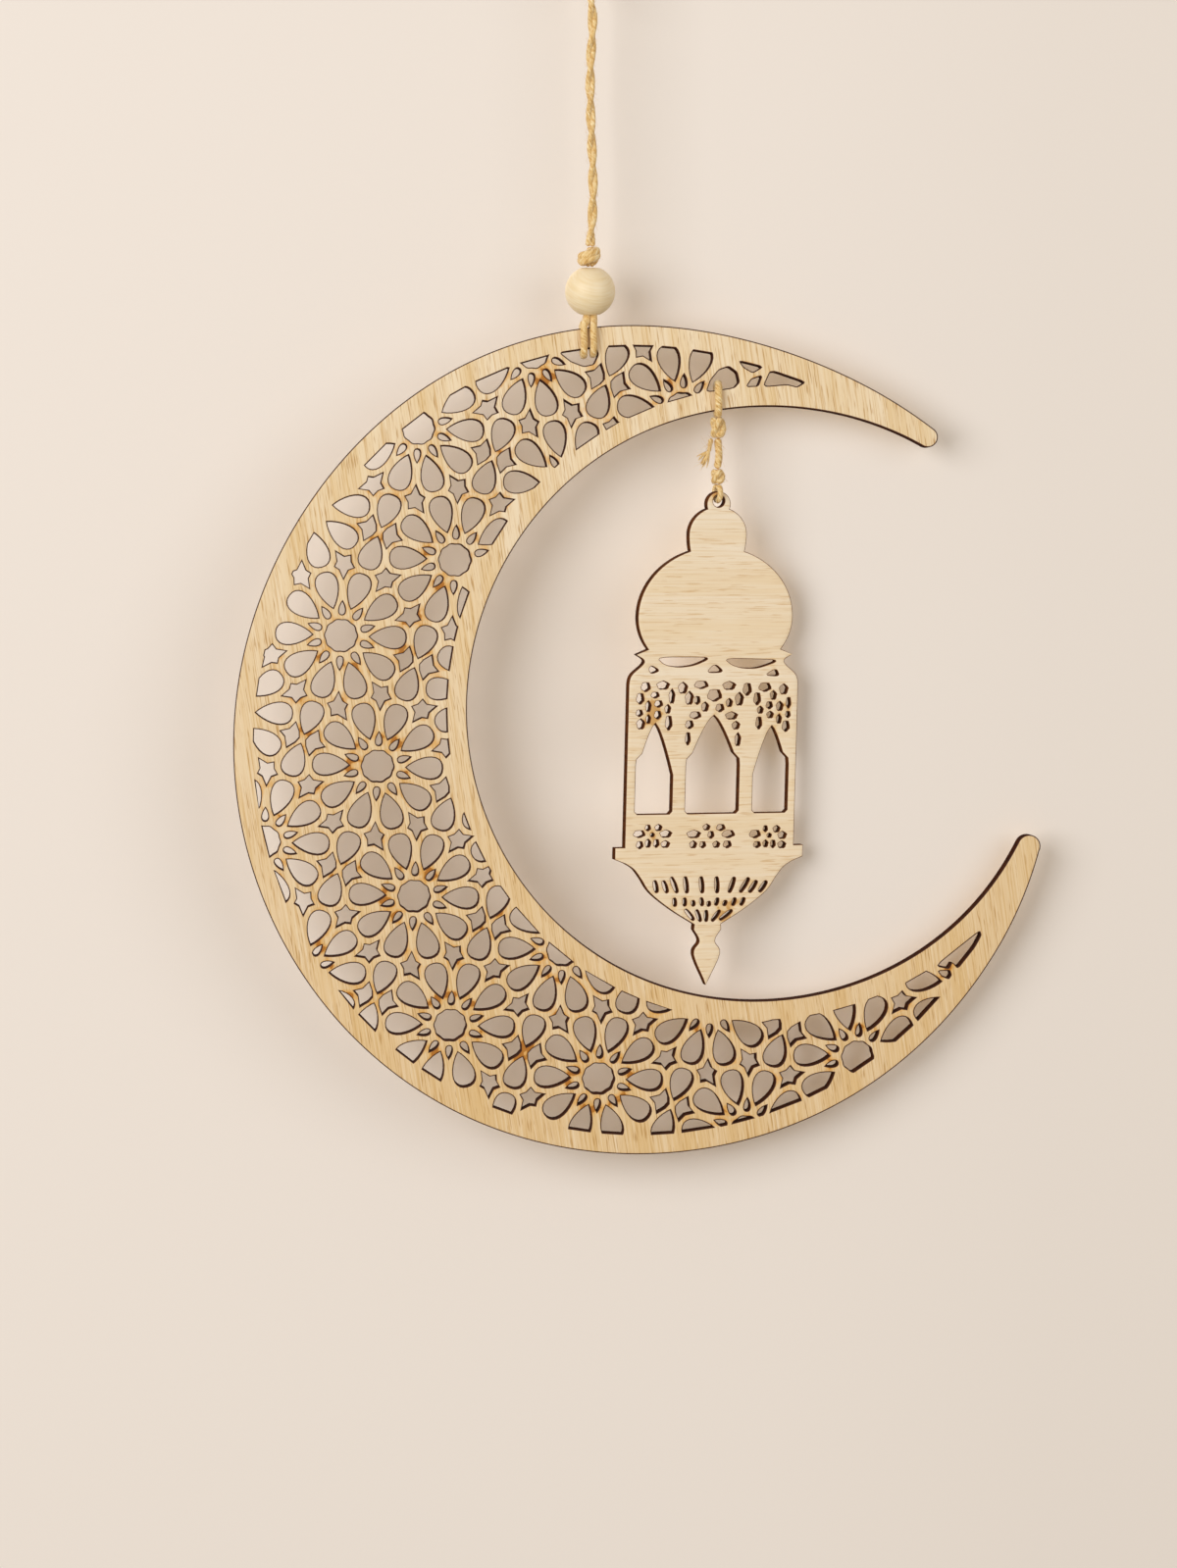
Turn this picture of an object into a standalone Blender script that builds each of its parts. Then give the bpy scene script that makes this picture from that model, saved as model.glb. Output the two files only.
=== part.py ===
"""Crescent moon wall hanging: a fretwork moon of thin plywood with a flat lantern hung inside it.

Seen from the front, X runs right, Z runs up, and the front faces -Y.
The origin is the inside of the top loop of cord, where a hook or nail holds the hanging.
"""
import math

import bpy
import bmesh
import numpy as np
from mathutils import Matrix, Vector

MM = 0.001
DEG = math.pi / 180

# Plywood and clearances
PLY_THICKNESS = 3.0 * MM
TOUCH_GAP = 0.3 * MM
LOOP_CLEARANCE = 0.6 * MM

# Hanging cord, from the hook down to the moon's rim: two strands, folded in half at the top loop
STRAND_DIAMETER = 2.0 * MM
CORD_DIAMETER = 4.0 * MM
TOP_LOOP_HEIGHT = 26.0 * MM
TOP_LOOP_WIDTH = 14.0 * MM
TOP_KNOT_LENGTH = 8.0 * MM
CORD_LENGTH = 92.5 * MM
BEAD_KNOT_LENGTH = 7.0 * MM
KNOT_DIAMETER = 8.4 * MM
BEAD_DIAMETER = 18.0 * MM
BEAD_BORE = 6.2 * MM
BEAD_TO_RIM = 4.4 * MM
STRAND_PAIR_GAP = 0.3 * MM
STRAND_SPREAD = 3.4 * MM
STRAND_SHIFT = -0.7 * MM
CORD_SWAY = (0.9 * MM, 0.2 * MM, 0.1 * MM, 0.5 * MM, 1.0 * MM, 0.9 * MM)

# Moon: two nearly round edges, each with a few gentle swells (waves per turn, height, direction);
# the inner circle lies off centre, towards the mouth, MOON_MOUTH short of the outer one
MOON_OUTER_RADIUS = 151.6 * MM
MOON_WIDEST = 86.15 * MM
MOON_MOUTH = 0.45 * MM
MOUTH_TURN = 17.8 * DEG
OUTER_SWELLS = ((2, 1.05 * MM, 31 * DEG), (3, 1.45 * MM, 16.5 * DEG), (4, 1.1 * MM, 24.5 * DEG),
                (5, 0.55 * MM, 27.5 * DEG))
INNER_SWELLS = ((2, 1.05 * MM, 60 * DEG), (3, 0.5 * MM, 44 * DEG), (4, 0.5 * MM, 40.5 * DEG),
                (5, 0.25 * MM, 35.5 * DEG))
UPPER_HORN_WIDTH = 7.3 * MM
LOWER_HORN_WIDTH = 8.5 * MM
LOWER_HORN_TAPER = (1.4 * MM, -32 * DEG, 16 * DEG)
HANG_TO_MOON_CENTRE = 22.3 * MM
RIM_WIDTH = 7.4 * MM
EDGE_STEP = 3.2 * DEG
HORN_STEPS = 6

# Fretwork: ten-petalled rosettes on a slanted grid, with bow ties between them
ROSETTE_PITCH = 49.2 * MM
GRID_TURN = 33.3 * DEG
FIRST_ROSETTE = (-99.4 * MM, -8.1 * MM)
PETALS = 10
PETAL_STEP = 2 * math.pi / PETALS
GRID_OBTUSE = 3 * PETAL_STEP

# One rosette's shapes as shares of the pitch: where they start and end, widths, radii and arms
PETAL_REACH = (0.2094, 0.4776)
PETAL_WIDTH = 0.1728
BOW_REACH = (0.0386, 0.2866)
BOW_WIDTH = 0.1768
SLOT_REACH = (0.1545, 0.248)
SLOT_WIDTH = 0.0447
HUB_RADIUS = 0.1138
STAR_ARMS = (0.0793, 0.1098, 0.0711, 0.1098, 0.0793)
STAR_WAIST = 0.0539
ARROW_ARMS = (0.0935, 0.0813, 0.0935)
ARROW_WAIST = 0.0447
ARROW_BACK = 0.0589
ARROW_CENTRE = 0.5
FRET_ENDS = (-39.5 * DEG, 77 * DEG)
SHORTEST_SIDE = 0.25 * MM

# Share of an opening that has to clear the rims, or else it is left solid: large ones, stars, slots
LEAST_LARGE = (0.20, 0.10)
LEAST_STAR = (0.60, 0.20)
LEAST_SLOT = (0.90, 0.90)
KEPT_SLIVERS = (85 * DEG, -76 * DEG, -140 * DEG, -157 * DEG, -173 * DEG)
KEPT_SLIVER_LEAST = 0.05
KEPT_SLIVER_SPREAD = 2 * DEG

# Openings that end the fretwork at the horns: degrees from the horn's tip, and the share of the
# way across to the outer edge
UPPER_HORN_OPENINGS = (
    ((24.7, 0.335), (24.4, 0.613), (19.1, 0.538), (19.9, 0.414), (21.4, 0.426)),
    ((29.2, 0.674), (25.8, 0.645), (26.9, 0.536), (28.4, 0.597)),
    ((27.2, 0.317), (26.8, 0.427), (25.5, 0.498), (25.6, 0.336)),
)
LOWER_HORN_OPENINGS = (
    ((22.1, 0.33), (21.3, 0.494), (20.4, 0.465), (20.2, 0.497), (20.4, 0.601), (16.5, 0.581),
     (14.5, 0.534), (14.1, 0.462)),
    ((22.6, 0.417), (22.8, 0.515), (22.5, 0.611), (21.9, 0.6), (21.5, 0.532)),
)

# Openings that the two cords pass through, in mm: across from the cord, and off the rim's edge
HANG_OPENING = ((1.8, 0), (2.7, 2.7), (1.2, 5.8), (-2.3, 6.2), (-6.9, 3.8), (-10.5, 0.3), (-10.0, 0))
LANTERN_OPENING = ((-4.1, 0), (-2.7, 3.7), (0.4, 7.0), (3.8, 7.7), (6.7, 5.3), (7.5, 1.8), (5.7, 0))
LEAST_STRAP = 0.8 * MM

# Lantern: depths are measured down from the foot of the part above, half widths from its middle line
LANTERN_YAW = 15 * DEG
LANTERN_LEAN = 1.5 * DEG
RING_RADIUS = 4.6 * MM
RING_DROP = 1.2 * MM
RING_HOLE_RADIUS = 2.3 * MM
DOME_STEPS = 7

# Domes: half width, its depth, height of the dome, and the share of its half width left at its foot
SMALL_DOME = (11.2 * MM, 12.2 * MM, 18.2 * MM, 0.94)
BIG_DOME = (30.1 * MM, 23.8 * MM, 35.5 * MM, 0.857)
MOULDING_HEIGHT = 12.7 * MM
BODY_HALF = 33.0 * MM
BODY_HEIGHT = 59.1 * MM
LEDGE_OVERHANG = 3.7 * MM
LEDGE_HEIGHT = 4.3 * MM
BOWL_HEIGHT = 24.3 * MM
FINIAL_HALF = 5.4 * MM
FINIAL_LENGTH = 22.3 * MM

# Profiles as shares: of the body's half and the moulding's height, the ledge's half and the bowl's
# height, and the finial's own half and length
MOULDING = ((0.92, 0.15), (0.825, 0.355), (0.955, 0.68), (0.99, 0.84))
BOWL = ((0.888, 0.066), (0.798, 0.152), (0.719, 0.3), (0.616, 0.515), (0.395, 0.77), (0.142, 1.0))
FINIAL = ((1.0, 0.085), (0.575, 0.275), (0.965, 0.49))

# Windows as shares of the body: middle line, half width, shoulder sides, depth of the point
WINDOWS = ((-0.676, 0.218, (-1,), 0.237), (0.012, 0.315, (-1, 1), 0.191), (0.7, 0.209, (1,), 0.259))
WINDOW_SHOULDER = 0.423
WINDOW_PLAIN_SPRING = 0.135
WINDOW_FOOT = 0.797
WINDOW_SHOULDER_STEP = 2.4 * MM
WINDOW_CORNER = 1.0 * MM

# Openings in the moulding, as shares of the body's half width and the moulding's height
EYES = (
    ((-0.682, 0.220), (-0.097, 0.228), (-0.079, 0.291), (-0.236, 0.457), (-0.415, 0.512), (-0.585, 0.441)),
    ((0.115, 0.260), (0.709, 0.307), (0.730, 0.370), (0.512, 0.551), (0.330, 0.543), (0.206, 0.449)),
)
WEDGES = (
    ((-0.745, 0.449), (-0.639, 0.598), (-0.739, 0.693), (-0.770, 0.567)),
    ((0.006, 0.409), (0.118, 0.654), (-0.094, 0.669)),
    ((0.733, 0.559), (0.776, 0.780), (0.600, 0.748)),
)

# Pebble-shaped openings as shares of the body: across and down, width and height
PEBBLES = (
    (-0.800, 0.014, 0.109, 0.058), (-0.597, 0.005, 0.148, 0.051), (-0.688, 0.064, 0.097, 0.037),
    (-0.491, 0.074, 0.067, 0.088), (-0.861, 0.085, 0.091, 0.068), (-0.764, 0.134, 0.064, 0.068),
    (-0.645, 0.118, 0.097, 0.042), (-0.536, 0.151, 0.067, 0.054), (-0.867, 0.174, 0.079, 0.041),
    (-0.761, 0.212, 0.055, 0.054), (-0.652, 0.186, 0.082, 0.051), (-0.848, 0.242, 0.097, 0.063),
    (-0.521, 0.235, 0.079, 0.091), (-0.364, 0.022, 0.109, 0.069), (-0.148, 0.003, 0.164, 0.047),
    (0.182, 0.010, 0.152, 0.051), (0.397, 0.032, 0.100, 0.078), (-0.285, 0.085, 0.097, 0.081),
    (0.012, 0.068, 0.170, 0.074), (0.306, 0.093, 0.097, 0.081), (-0.191, 0.098, 0.067, 0.051),
    (-0.097, 0.139, 0.082, 0.058), (0.079, 0.146, 0.097, 0.049), (0.188, 0.115, 0.073, 0.051),
    (-0.209, 0.190, 0.133, 0.044), (0.218, 0.195, 0.142, 0.046), (-0.276, 0.247, 0.094, 0.051),
    (0.273, 0.255, 0.091, 0.049), (-0.291, 0.333, 0.058, 0.080), (0.300, 0.343, 0.067, 0.081),
    (0.606, 0.020, 0.148, 0.054), (0.830, 0.034, 0.103, 0.063), (0.518, 0.091, 0.082, 0.078),
    (0.709, 0.071, 0.076, 0.056), (0.891, 0.117, 0.055, 0.069), (0.558, 0.161, 0.070, 0.044),
    (0.664, 0.132, 0.076, 0.046), (0.788, 0.139, 0.082, 0.058), (0.888, 0.190, 0.055, 0.041),
    (0.676, 0.191, 0.079, 0.042), (0.545, 0.240, 0.070, 0.078), (0.782, 0.218, 0.061, 0.058),
    (0.867, 0.262, 0.088, 0.068),
)
LEAVES = (
    (-0.679, 0.924, 0.048, 0.025), (-0.733, 0.880, 0.064, 0.037), (-0.609, 0.880, 0.082, 0.039),
    (-0.833, 0.917, 0.139, 0.044), (-0.521, 0.919, 0.139, 0.046), (-0.824, 0.985, 0.079, 0.046),
    (-0.727, 0.976, 0.067, 0.051), (-0.630, 0.976, 0.067, 0.051), (-0.524, 0.983, 0.103, 0.042),
    (0.012, 0.929, 0.073, 0.044), (-0.042, 0.882, 0.082, 0.037), (0.127, 0.885, 0.103, 0.039),
    (-0.191, 0.924, 0.161, 0.047), (0.218, 0.926, 0.152, 0.046), (-0.194, 0.988, 0.082, 0.044),
    (-0.082, 0.990, 0.073, 0.039), (0.079, 0.990, 0.082, 0.039), (0.209, 0.990, 0.097, 0.044),
    (0.706, 0.939, 0.052, 0.027), (0.658, 0.897, 0.052, 0.039), (0.791, 0.900, 0.082, 0.042),
    (0.536, 0.929, 0.133, 0.049), (0.861, 0.939, 0.103, 0.046), (0.564, 0.995, 0.085, 0.039),
    (0.664, 0.990, 0.061, 0.044), (0.752, 0.992, 0.061, 0.049), (0.858, 0.998, 0.097, 0.044),
)
PEBBLE_SIDES = 5

# Slits as shares of the ledge's half width and the bowl's height: top and foot, each across and down
TALL_SLITS = (
    (-0.580, 0.329, -0.542, 0.502), (-0.488, 0.337, -0.433, 0.506), (-0.403, 0.284, -0.327, 0.510),
    (-0.256, 0.280, -0.223, 0.519), (-0.087, 0.284, -0.060, 0.523), (0.079, 0.288, 0.098, 0.527),
    (0.270, 0.296, 0.226, 0.527), (0.425, 0.309, 0.343, 0.527), (0.510, 0.354, 0.441, 0.531),
    (0.616, 0.362, 0.548, 0.527),
)
SHORT_SLITS = (
    (-0.365, 0.597, -0.346, 0.716), (-0.256, 0.597, -0.243, 0.716), (-0.169, 0.642, -0.147, 0.716),
    (-0.079, 0.601, -0.057, 0.716), (0.000, 0.658, 0.016, 0.724), (0.098, 0.605, 0.087, 0.716),
    (0.185, 0.646, 0.174, 0.724), (0.283, 0.609, 0.267, 0.724), (0.381, 0.609, 0.354, 0.724),
)
FAN_SLITS = (
    (-0.245, 0.774, -0.144, 0.926), (-0.125, 0.782, -0.071, 0.951), (-0.022, 0.790, -0.011, 0.955),
    (0.125, 0.790, 0.049, 0.955), (0.256, 0.790, 0.131, 0.938),
)
TALL_SLIT_WIDTH = 1.9 * MM
SHORT_SLIT_WIDTH = 1.6 * MM
FAN_SLIT_WIDTH = 1.6 * MM

# Lantern cord, and where it crosses the moon's inner rim, to the right of the hanging cord
THIN_CORD_DIAMETER = 2.2 * MM
HANG_TO_LANTERN = 46.2 * MM
RIM_LOOP_DROP = 2.6 * MM
UPPER_KNOT = (5.6 * MM, 7.2 * MM)
STRAND_LENGTH = 11.1 * MM
LOWER_KNOT = (5.2 * MM, 5.0 * MM)
RING_LOOP_DROP = 2.8 * MM
TAIL_LENGTH = 9.5 * MM
TAIL_SPREAD = 3.4 * MM

# How finely the round pieces are drawn
KNOT_SIDES = 14
BEAD_SIDES = 28
BEAD_RINGS = 12
TUBE_RINGS = 2

# Colours as red, green, blue between 0 and 1, with roughness
PLYWOOD = ((0.80, 0.62, 0.40), 0.62)
LANTERN_PLYWOOD = ((0.82, 0.63, 0.44), 0.62)
BEAD_WOOD = ((0.85, 0.69, 0.45), 0.38)
JUTE = ((0.66, 0.46, 0.21), 0.92)


def wave(radius, swells, angle):
    """Radius of a nearly round edge at an angle: the mean radius plus each swell's cosine."""
    return radius + sum(height * np.cos(count * (angle - turn)) for count, height, turn in swells)


def polar(radius, angle):
    return np.stack([radius * np.cos(angle), radius * np.sin(angle)], axis=-1)


def turned(points, angle, centre=(0, 0)):
    """Points turned about the origin, then moved to centre."""
    cos, sin = math.cos(angle), math.sin(angle)
    return np.asarray(points) @ np.array([[cos, sin], [-sin, cos]]) + np.asarray(centre)


# The moon's two edges, in its own plane with the outer edge's centre as the middle

LANTERN_X = HANG_TO_LANTERN - HANG_TO_MOON_CENTRE
MOON_INNER_RADIUS = MOON_OUTER_RADIUS - (MOON_WIDEST + MOON_MOUTH) / 2
INNER_SHIFT = (MOON_WIDEST - MOON_MOUTH) / 2
INNER_CENTRE = INNER_SHIFT * np.array([math.cos(MOUTH_TURN), math.sin(MOUTH_TURN)])


def outer_reach(angle):
    """Radius of the outer edge, drawn in a little more towards the tip of the lower horn."""
    depth, start, span = LOWER_HORN_TAPER
    turn = (np.asarray(angle) + math.pi) % (2 * math.pi) - math.pi
    share = np.where(turn < -start, np.clip((turn - start) / span, 0, 1), 0)
    return wave(MOON_OUTER_RADIUS, OUTER_SWELLS, angle) - depth * share ** 2


def inside_outer(points, inset):
    """How far each point lies inside the outer edge moved in by inset, as a signed distance."""
    angle = np.arctan2(points[..., 1], points[..., 0])
    return outer_reach(angle) - inset - np.hypot(points[..., 0], points[..., 1])


def outside_inner(points, inset):
    """How far each point lies outside the inner edge moved out by inset, as a signed distance."""
    away = points - INNER_CENTRE
    angle = np.arctan2(away[..., 1], away[..., 0])
    reach = wave(MOON_INNER_RADIUS, INNER_SWELLS, angle)
    return np.hypot(away[..., 0], away[..., 1]) - reach - inset


def outer_point(angle):
    return polar(outer_reach(angle), angle)


def edge_height(across, reach, above):
    """Height of a moon edge over or under a place across, from the moon's centre, by bisection."""
    low, high = (0, 2 * MOON_OUTER_RADIUS) if above else (-2 * MOON_OUTER_RADIUS, 0)
    for _ in range(50):
        middle = (low + high) / 2
        if (reach(np.array([across, middle])) > 0) == above:
            low = middle
        else:
            high = middle
    return low


def under_outer_rim(point):
    return inside_outer(point, RIM_WIDTH)


def over_inner_rim(point):
    return -outside_inner(point, RIM_WIDTH)


def horn_angle(side, width):
    """Angle at which the moon has narrowed to width, on one side of its line of symmetry."""
    wide, narrow = math.pi * 0.9, 0.0
    for _ in range(40):
        half = (wide + narrow) / 2
        if outside_inner(outer_point(MOUTH_TURN + side * half), 0) > width:
            wide = half
        else:
            narrow = half
    return MOUTH_TURN + side * wide


def horn_cap(start, end):
    """Half circle from start to end, bulging away from the moon's body, without its end points."""
    centre = (start + end) / 2
    spoke = start - centre
    turn = np.linspace(0, math.pi, HORN_STEPS + 1)[1:-1]
    side = np.array([spoke[1], -spoke[0]])
    if side @ centre < 0:
        side = -side
    return centre + np.outer(np.cos(turn), spoke) + np.outer(np.sin(turn), side)


def moon_outline():
    """Outer edge from the upper horn round to the lower one, then back along the inner edge."""
    upper = horn_angle(1, UPPER_HORN_WIDTH)
    lower = horn_angle(-1, LOWER_HORN_WIDTH) + 2 * math.pi
    outer_angles = np.linspace(upper, lower, round((lower - upper) / EDGE_STEP) + 1)
    outer = outer_point(outer_angles)
    heads = []
    for tip in (outer[-1], outer[0]):
        away = tip - INNER_CENTRE
        heads.append(math.atan2(away[1], away[0]) % (2 * math.pi))
    inner_angles = np.linspace(heads[0], heads[1], round(abs(heads[0] - heads[1]) / EDGE_STEP) + 1)
    inner = INNER_CENTRE + polar(wave(MOON_INNER_RADIUS, INNER_SWELLS, inner_angles), inner_angles)
    return np.vstack([outer, horn_cap(outer[-1], inner[0]), inner, horn_cap(inner[-1], outer[0])])


# The fretwork's openings


def drop(reach, width, steps, blunt=0.9, fullness=0.43):
    """Drop lying along X: its half width grows as distance^blunt and closes as (1-distance)^fullness."""
    share = np.sin(np.linspace(0, 1, steps + 1) * math.pi / 2) ** 1.3
    widest = blunt / (blunt + fullness)
    peak = widest ** blunt * (1 - widest) ** fullness
    half = width / 2 / peak * share ** blunt * (1 - share) ** fullness
    along = reach[0] + (reach[1] - reach[0]) * share
    return np.vstack([np.c_[along, half], np.c_[along, -half][-2:0:-1]])


def star():
    """Five-armed star, its odd arms longer, with its line of symmetry along X."""
    points = []
    for number, arm in enumerate(STAR_ARMS):
        points.append(polar(arm, (36 + 72 * number) * DEG))
        points.append(polar(STAR_WAIST, (72 + 72 * number) * DEG))
    return np.array(points)


def arrow():
    """Three-armed star with a round back towards +X."""
    back = polar(ARROW_BACK, np.array([-42, 0, 42]) * DEG)
    arms = []
    for arm, angle in zip(ARROW_ARMS, (90, 180, 270)):
        arms.append(polar(arm, angle * DEG))
        arms.append(polar(ARROW_WAIST, (angle + 35) * DEG))
    return np.vstack([back, arms[:-1]])


def hub():
    """Round middle of a rosette."""
    return polar(HUB_RADIUS, np.arange(0, 12) * math.pi / 6)


def rosette_openings(centre, bow_centre):
    """All openings of one rosette and of the bow tie beside it, each with its least share."""
    pitch = ROSETTE_PITCH
    half_step = PETAL_STEP / 2
    corner = pitch / 2 / math.cos(half_step)
    petal = pitch * drop(PETAL_REACH, PETAL_WIDTH, 4)
    slot = pitch * drop((-SLOT_REACH[1], -SLOT_REACH[0]), SLOT_WIDTH, 3) * (-1, 1)
    bow = pitch * drop(BOW_REACH, BOW_WIDTH, 4)
    openings = [(centre + pitch * hub(), LEAST_LARGE)]
    for number in range(PETALS):
        along = GRID_TURN + PETAL_STEP * number
        openings.append((turned(petal, along, centre), LEAST_LARGE))
        openings.append((turned(slot, along + half_step, centre), LEAST_SLOT))
    for corner_turn, axis_turn in ((-1, -5), (1, 5), (3, -1), (5, 9)):
        at = centre + polar(corner, GRID_TURN + half_step * corner_turn)
        openings.append((turned(pitch * star(), GRID_TURN + half_step * axis_turn, at), LEAST_STAR))
    for corner_turn in (-3, 7):
        along = GRID_TURN + half_step * corner_turn
        at = centre + polar(pitch * ARROW_CENTRE, along)
        openings.append((turned(pitch * arrow(), along, at), LEAST_STAR))
    for end in (0, math.pi):
        openings.append((turned(bow, GRID_TURN + PETAL_STEP + end, bow_centre), LEAST_LARGE))
    return openings


def signed_area(points):
    x, y = points[:, 0], points[:, 1]
    return 0.5 * float(np.sum(x * np.roll(y, -1) - y * np.roll(x, -1)))


def trimmed(points, depth_at):
    """The parts of an outline that lie where depth_at is positive, cut along short straight chords."""
    depth = depth_at(points)
    if depth.min() >= 0:
        return [points]
    if depth.max() <= 0:
        return []
    count = len(points)
    start = next(i for i in range(count) if depth[i - 1] < 0 <= depth[i])
    runs, run = [], []
    for step in range(count + 1):
        here, before = (start + step) % count, (start + step - 1) % count
        if (depth[before] < 0) != (depth[here] < 0):
            share = depth[before] / (depth[before] - depth[here])
            run.append(points[before] + (points[here] - points[before]) * share)
            if depth[here] < 0:
                runs.append(run)
                run = []
        if depth[here] >= 0 and step < count:
            run.append(points[here])
    along = runs[0][0] - runs[-1][-1]
    if len(runs) > 1:
        ends = np.array([run[side] for run in runs for side in (0, -1)])
        spread = ends - ends.mean(axis=0)
        along = spread[np.argmax(np.hypot(spread[:, 0], spread[:, 1]))]
    marks = sorted((float(run[side] @ along), number, side) for number, run in enumerate(runs)
                   for side in (0, -1))
    partner = {}
    for one, two in zip(marks[::2], marks[1::2]):
        partner[one[1:]] = two[1:]
        partner[two[1:]] = one[1:]
    pieces, left = [], set(range(len(runs)))
    while left:
        number = min(left)
        piece = []
        while number in left:
            left.remove(number)
            piece += runs[number]
            number = partner[(number, -1)][0]
        pieces.append(np.array(piece))
    return pieces


def without_short_sides(points):
    """The outline without points that lie closer than SHORTEST_SIDE to the one before."""
    gap = np.hypot(*(points - np.roll(points, 1, axis=0)).T)
    return points[gap > SHORTEST_SIDE]


def is_kept(piece, share, least):
    """Whether a cut-off opening is large enough, or one of the slivers that are kept."""
    angle = math.atan2(*piece.mean(axis=0)[::-1])
    if FRET_ENDS[0] < angle < FRET_ENDS[1]:
        return False
    if share >= least:
        return True
    near = min(abs(angle - kept) for kept in KEPT_SLIVERS)
    return share > KEPT_SLIVER_LEAST and near < KEPT_SLIVER_SPREAD


def horn_opening(side, tip, points):
    """Opening whose points are given as degrees from a horn's tip and shares of the width there."""
    placed = []
    for degrees, share in points:
        angle = tip + side * degrees * DEG
        near, far = MOON_OUTER_RADIUS / 2, float(outer_reach(angle))
        for _ in range(40):
            reach = (near + far) / 2
            point = polar(reach, np.float64(angle))
            depth, height = inside_outer(point, 0), outside_inner(point, 0)
            if height < share * (height + depth):
                near = reach
            else:
                far = reach
        placed.append(point)
    return np.array(placed)


def cord_opening(across, points, reach, side):
    """Opening under or over a rim; its points lie across from the cord and off the rim's own edge."""
    placed = []
    for x, away in points:
        edge = edge_height(across + x * MM, reach, True)
        placed.append((across + x * MM, edge + side * away * MM))
    return np.array(placed)


def set_openings():
    """The openings that are placed one by one: at the two cords and at the horns."""
    upper = horn_angle(1, UPPER_HORN_WIDTH)
    lower = horn_angle(-1, LOWER_HORN_WIDTH)
    horns = [horn_opening(1, upper, points) for points in UPPER_HORN_OPENINGS]
    horns += [horn_opening(-1, lower, points) for points in LOWER_HORN_OPENINGS]
    cords = [cord_opening(-HANG_TO_MOON_CENTRE, HANG_OPENING, under_outer_rim, -1),
             cord_opening(LANTERN_X, LANTERN_OPENING, over_inner_rim, 1)]
    return cords + [points for points in horns if is_clear(points, cords)]


def least_gap(one, other):
    """Least distance between two outlines, or zero where they cross or one holds the other."""
    least = math.inf
    for points, ring in ((one, other), (other, one)):
        start, side = ring, np.roll(ring, -1, axis=0) - ring
        away = points[:, None] - start
        share = np.clip((away * side).sum(-1) / (side * side).sum(-1), 0, 1)
        least = min(least, float(np.linalg.norm(away - share[..., None] * side, axis=-1).min()))
        cross = side[:, 0] * away[..., 1] - side[:, 1] * away[..., 0]
        spans = (away[..., 1] >= 0) != (away[..., 1] - side[:, 1] >= 0)
        inside = (spans & ((cross > 0) == (side[:, 1] > 0))).sum(axis=1) % 2
        if inside.any():
            return 0.0
    return least


def is_clear(points, others):
    """Whether a strap is left between an opening and each of the others."""
    return min(least_gap(points, other) for other in others) > LEAST_STRAP


def moon_openings():
    """Every rosette opening, cut back to the band between the rims, slivers left solid."""
    row = polar(ROSETTE_PITCH, GRID_TURN - GRID_OBTUSE)
    column = polar(ROSETTE_PITCH, np.float64(GRID_TURN))
    placed = set_openings()
    kept = list(placed)
    span = math.ceil(2 * MOON_OUTER_RADIUS / ROSETTE_PITCH)
    for i in range(-span, span + 1):
        for j in range(-span, span + 1):
            centre = np.array(FIRST_ROSETTE) + i * row + j * column
            if np.hypot(*centre) > MOON_OUTER_RADIUS + ROSETTE_PITCH:
                continue
            for opening, least in rosette_openings(centre, centre + (row + column) / 2):
                whole = abs(signed_area(opening))
                for outer_cut in trimmed(opening, lambda p: inside_outer(p, RIM_WIDTH)):
                    outer_share = abs(signed_area(outer_cut)) / whole
                    for cut in trimmed(outer_cut, lambda p: outside_inner(p, RIM_WIDTH)):
                        share = abs(signed_area(cut)) / whole
                        bound = least[0] if outer_share < 0.99 else least[1]
                        if is_kept(cut, share, bound) and is_clear(cut, placed):
                            kept.append(without_short_sides(cut))
    return kept


# The lantern's outline and openings, with its hanging hole as the middle and Y up


SMALL_FOOT = SMALL_DOME[2]
BIG_FOOT = SMALL_FOOT + BIG_DOME[2]
BODY_TOP = BIG_FOOT + MOULDING_HEIGHT
LEDGE_HALF = BODY_HALF + LEDGE_OVERHANG
LEDGE_TOP = BODY_TOP + BODY_HEIGHT
LEDGE_FOOT = LEDGE_TOP + LEDGE_HEIGHT
BOWL_FOOT = LEDGE_FOOT + BOWL_HEIGHT


def scaled(points, half, top, height):
    """Points given as shares across a half width and down a height, below a level."""
    return [(across * half, -top - down * height) for across, down in points]


def dome_side(dome, top_half, start, level):
    """Right side of an onion dome: an ellipse quarter down to its widest, then another to its foot."""
    half, depth, foot, foot_share = dome
    above = math.acos(min(1, top_half / half))
    below = math.acos(foot_share)
    rise = (depth - start) / math.sin(above)
    fall = (foot - depth) / math.sin(below)
    middle = level + depth
    side = [(half * math.cos(t), rise * math.sin(t) - middle) for t in np.linspace(above, 0, DOME_STEPS)]
    side += [(half * math.cos(t), -fall * math.sin(t) - middle) for t in np.linspace(0, below, 4)[1:]]
    return side


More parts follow.
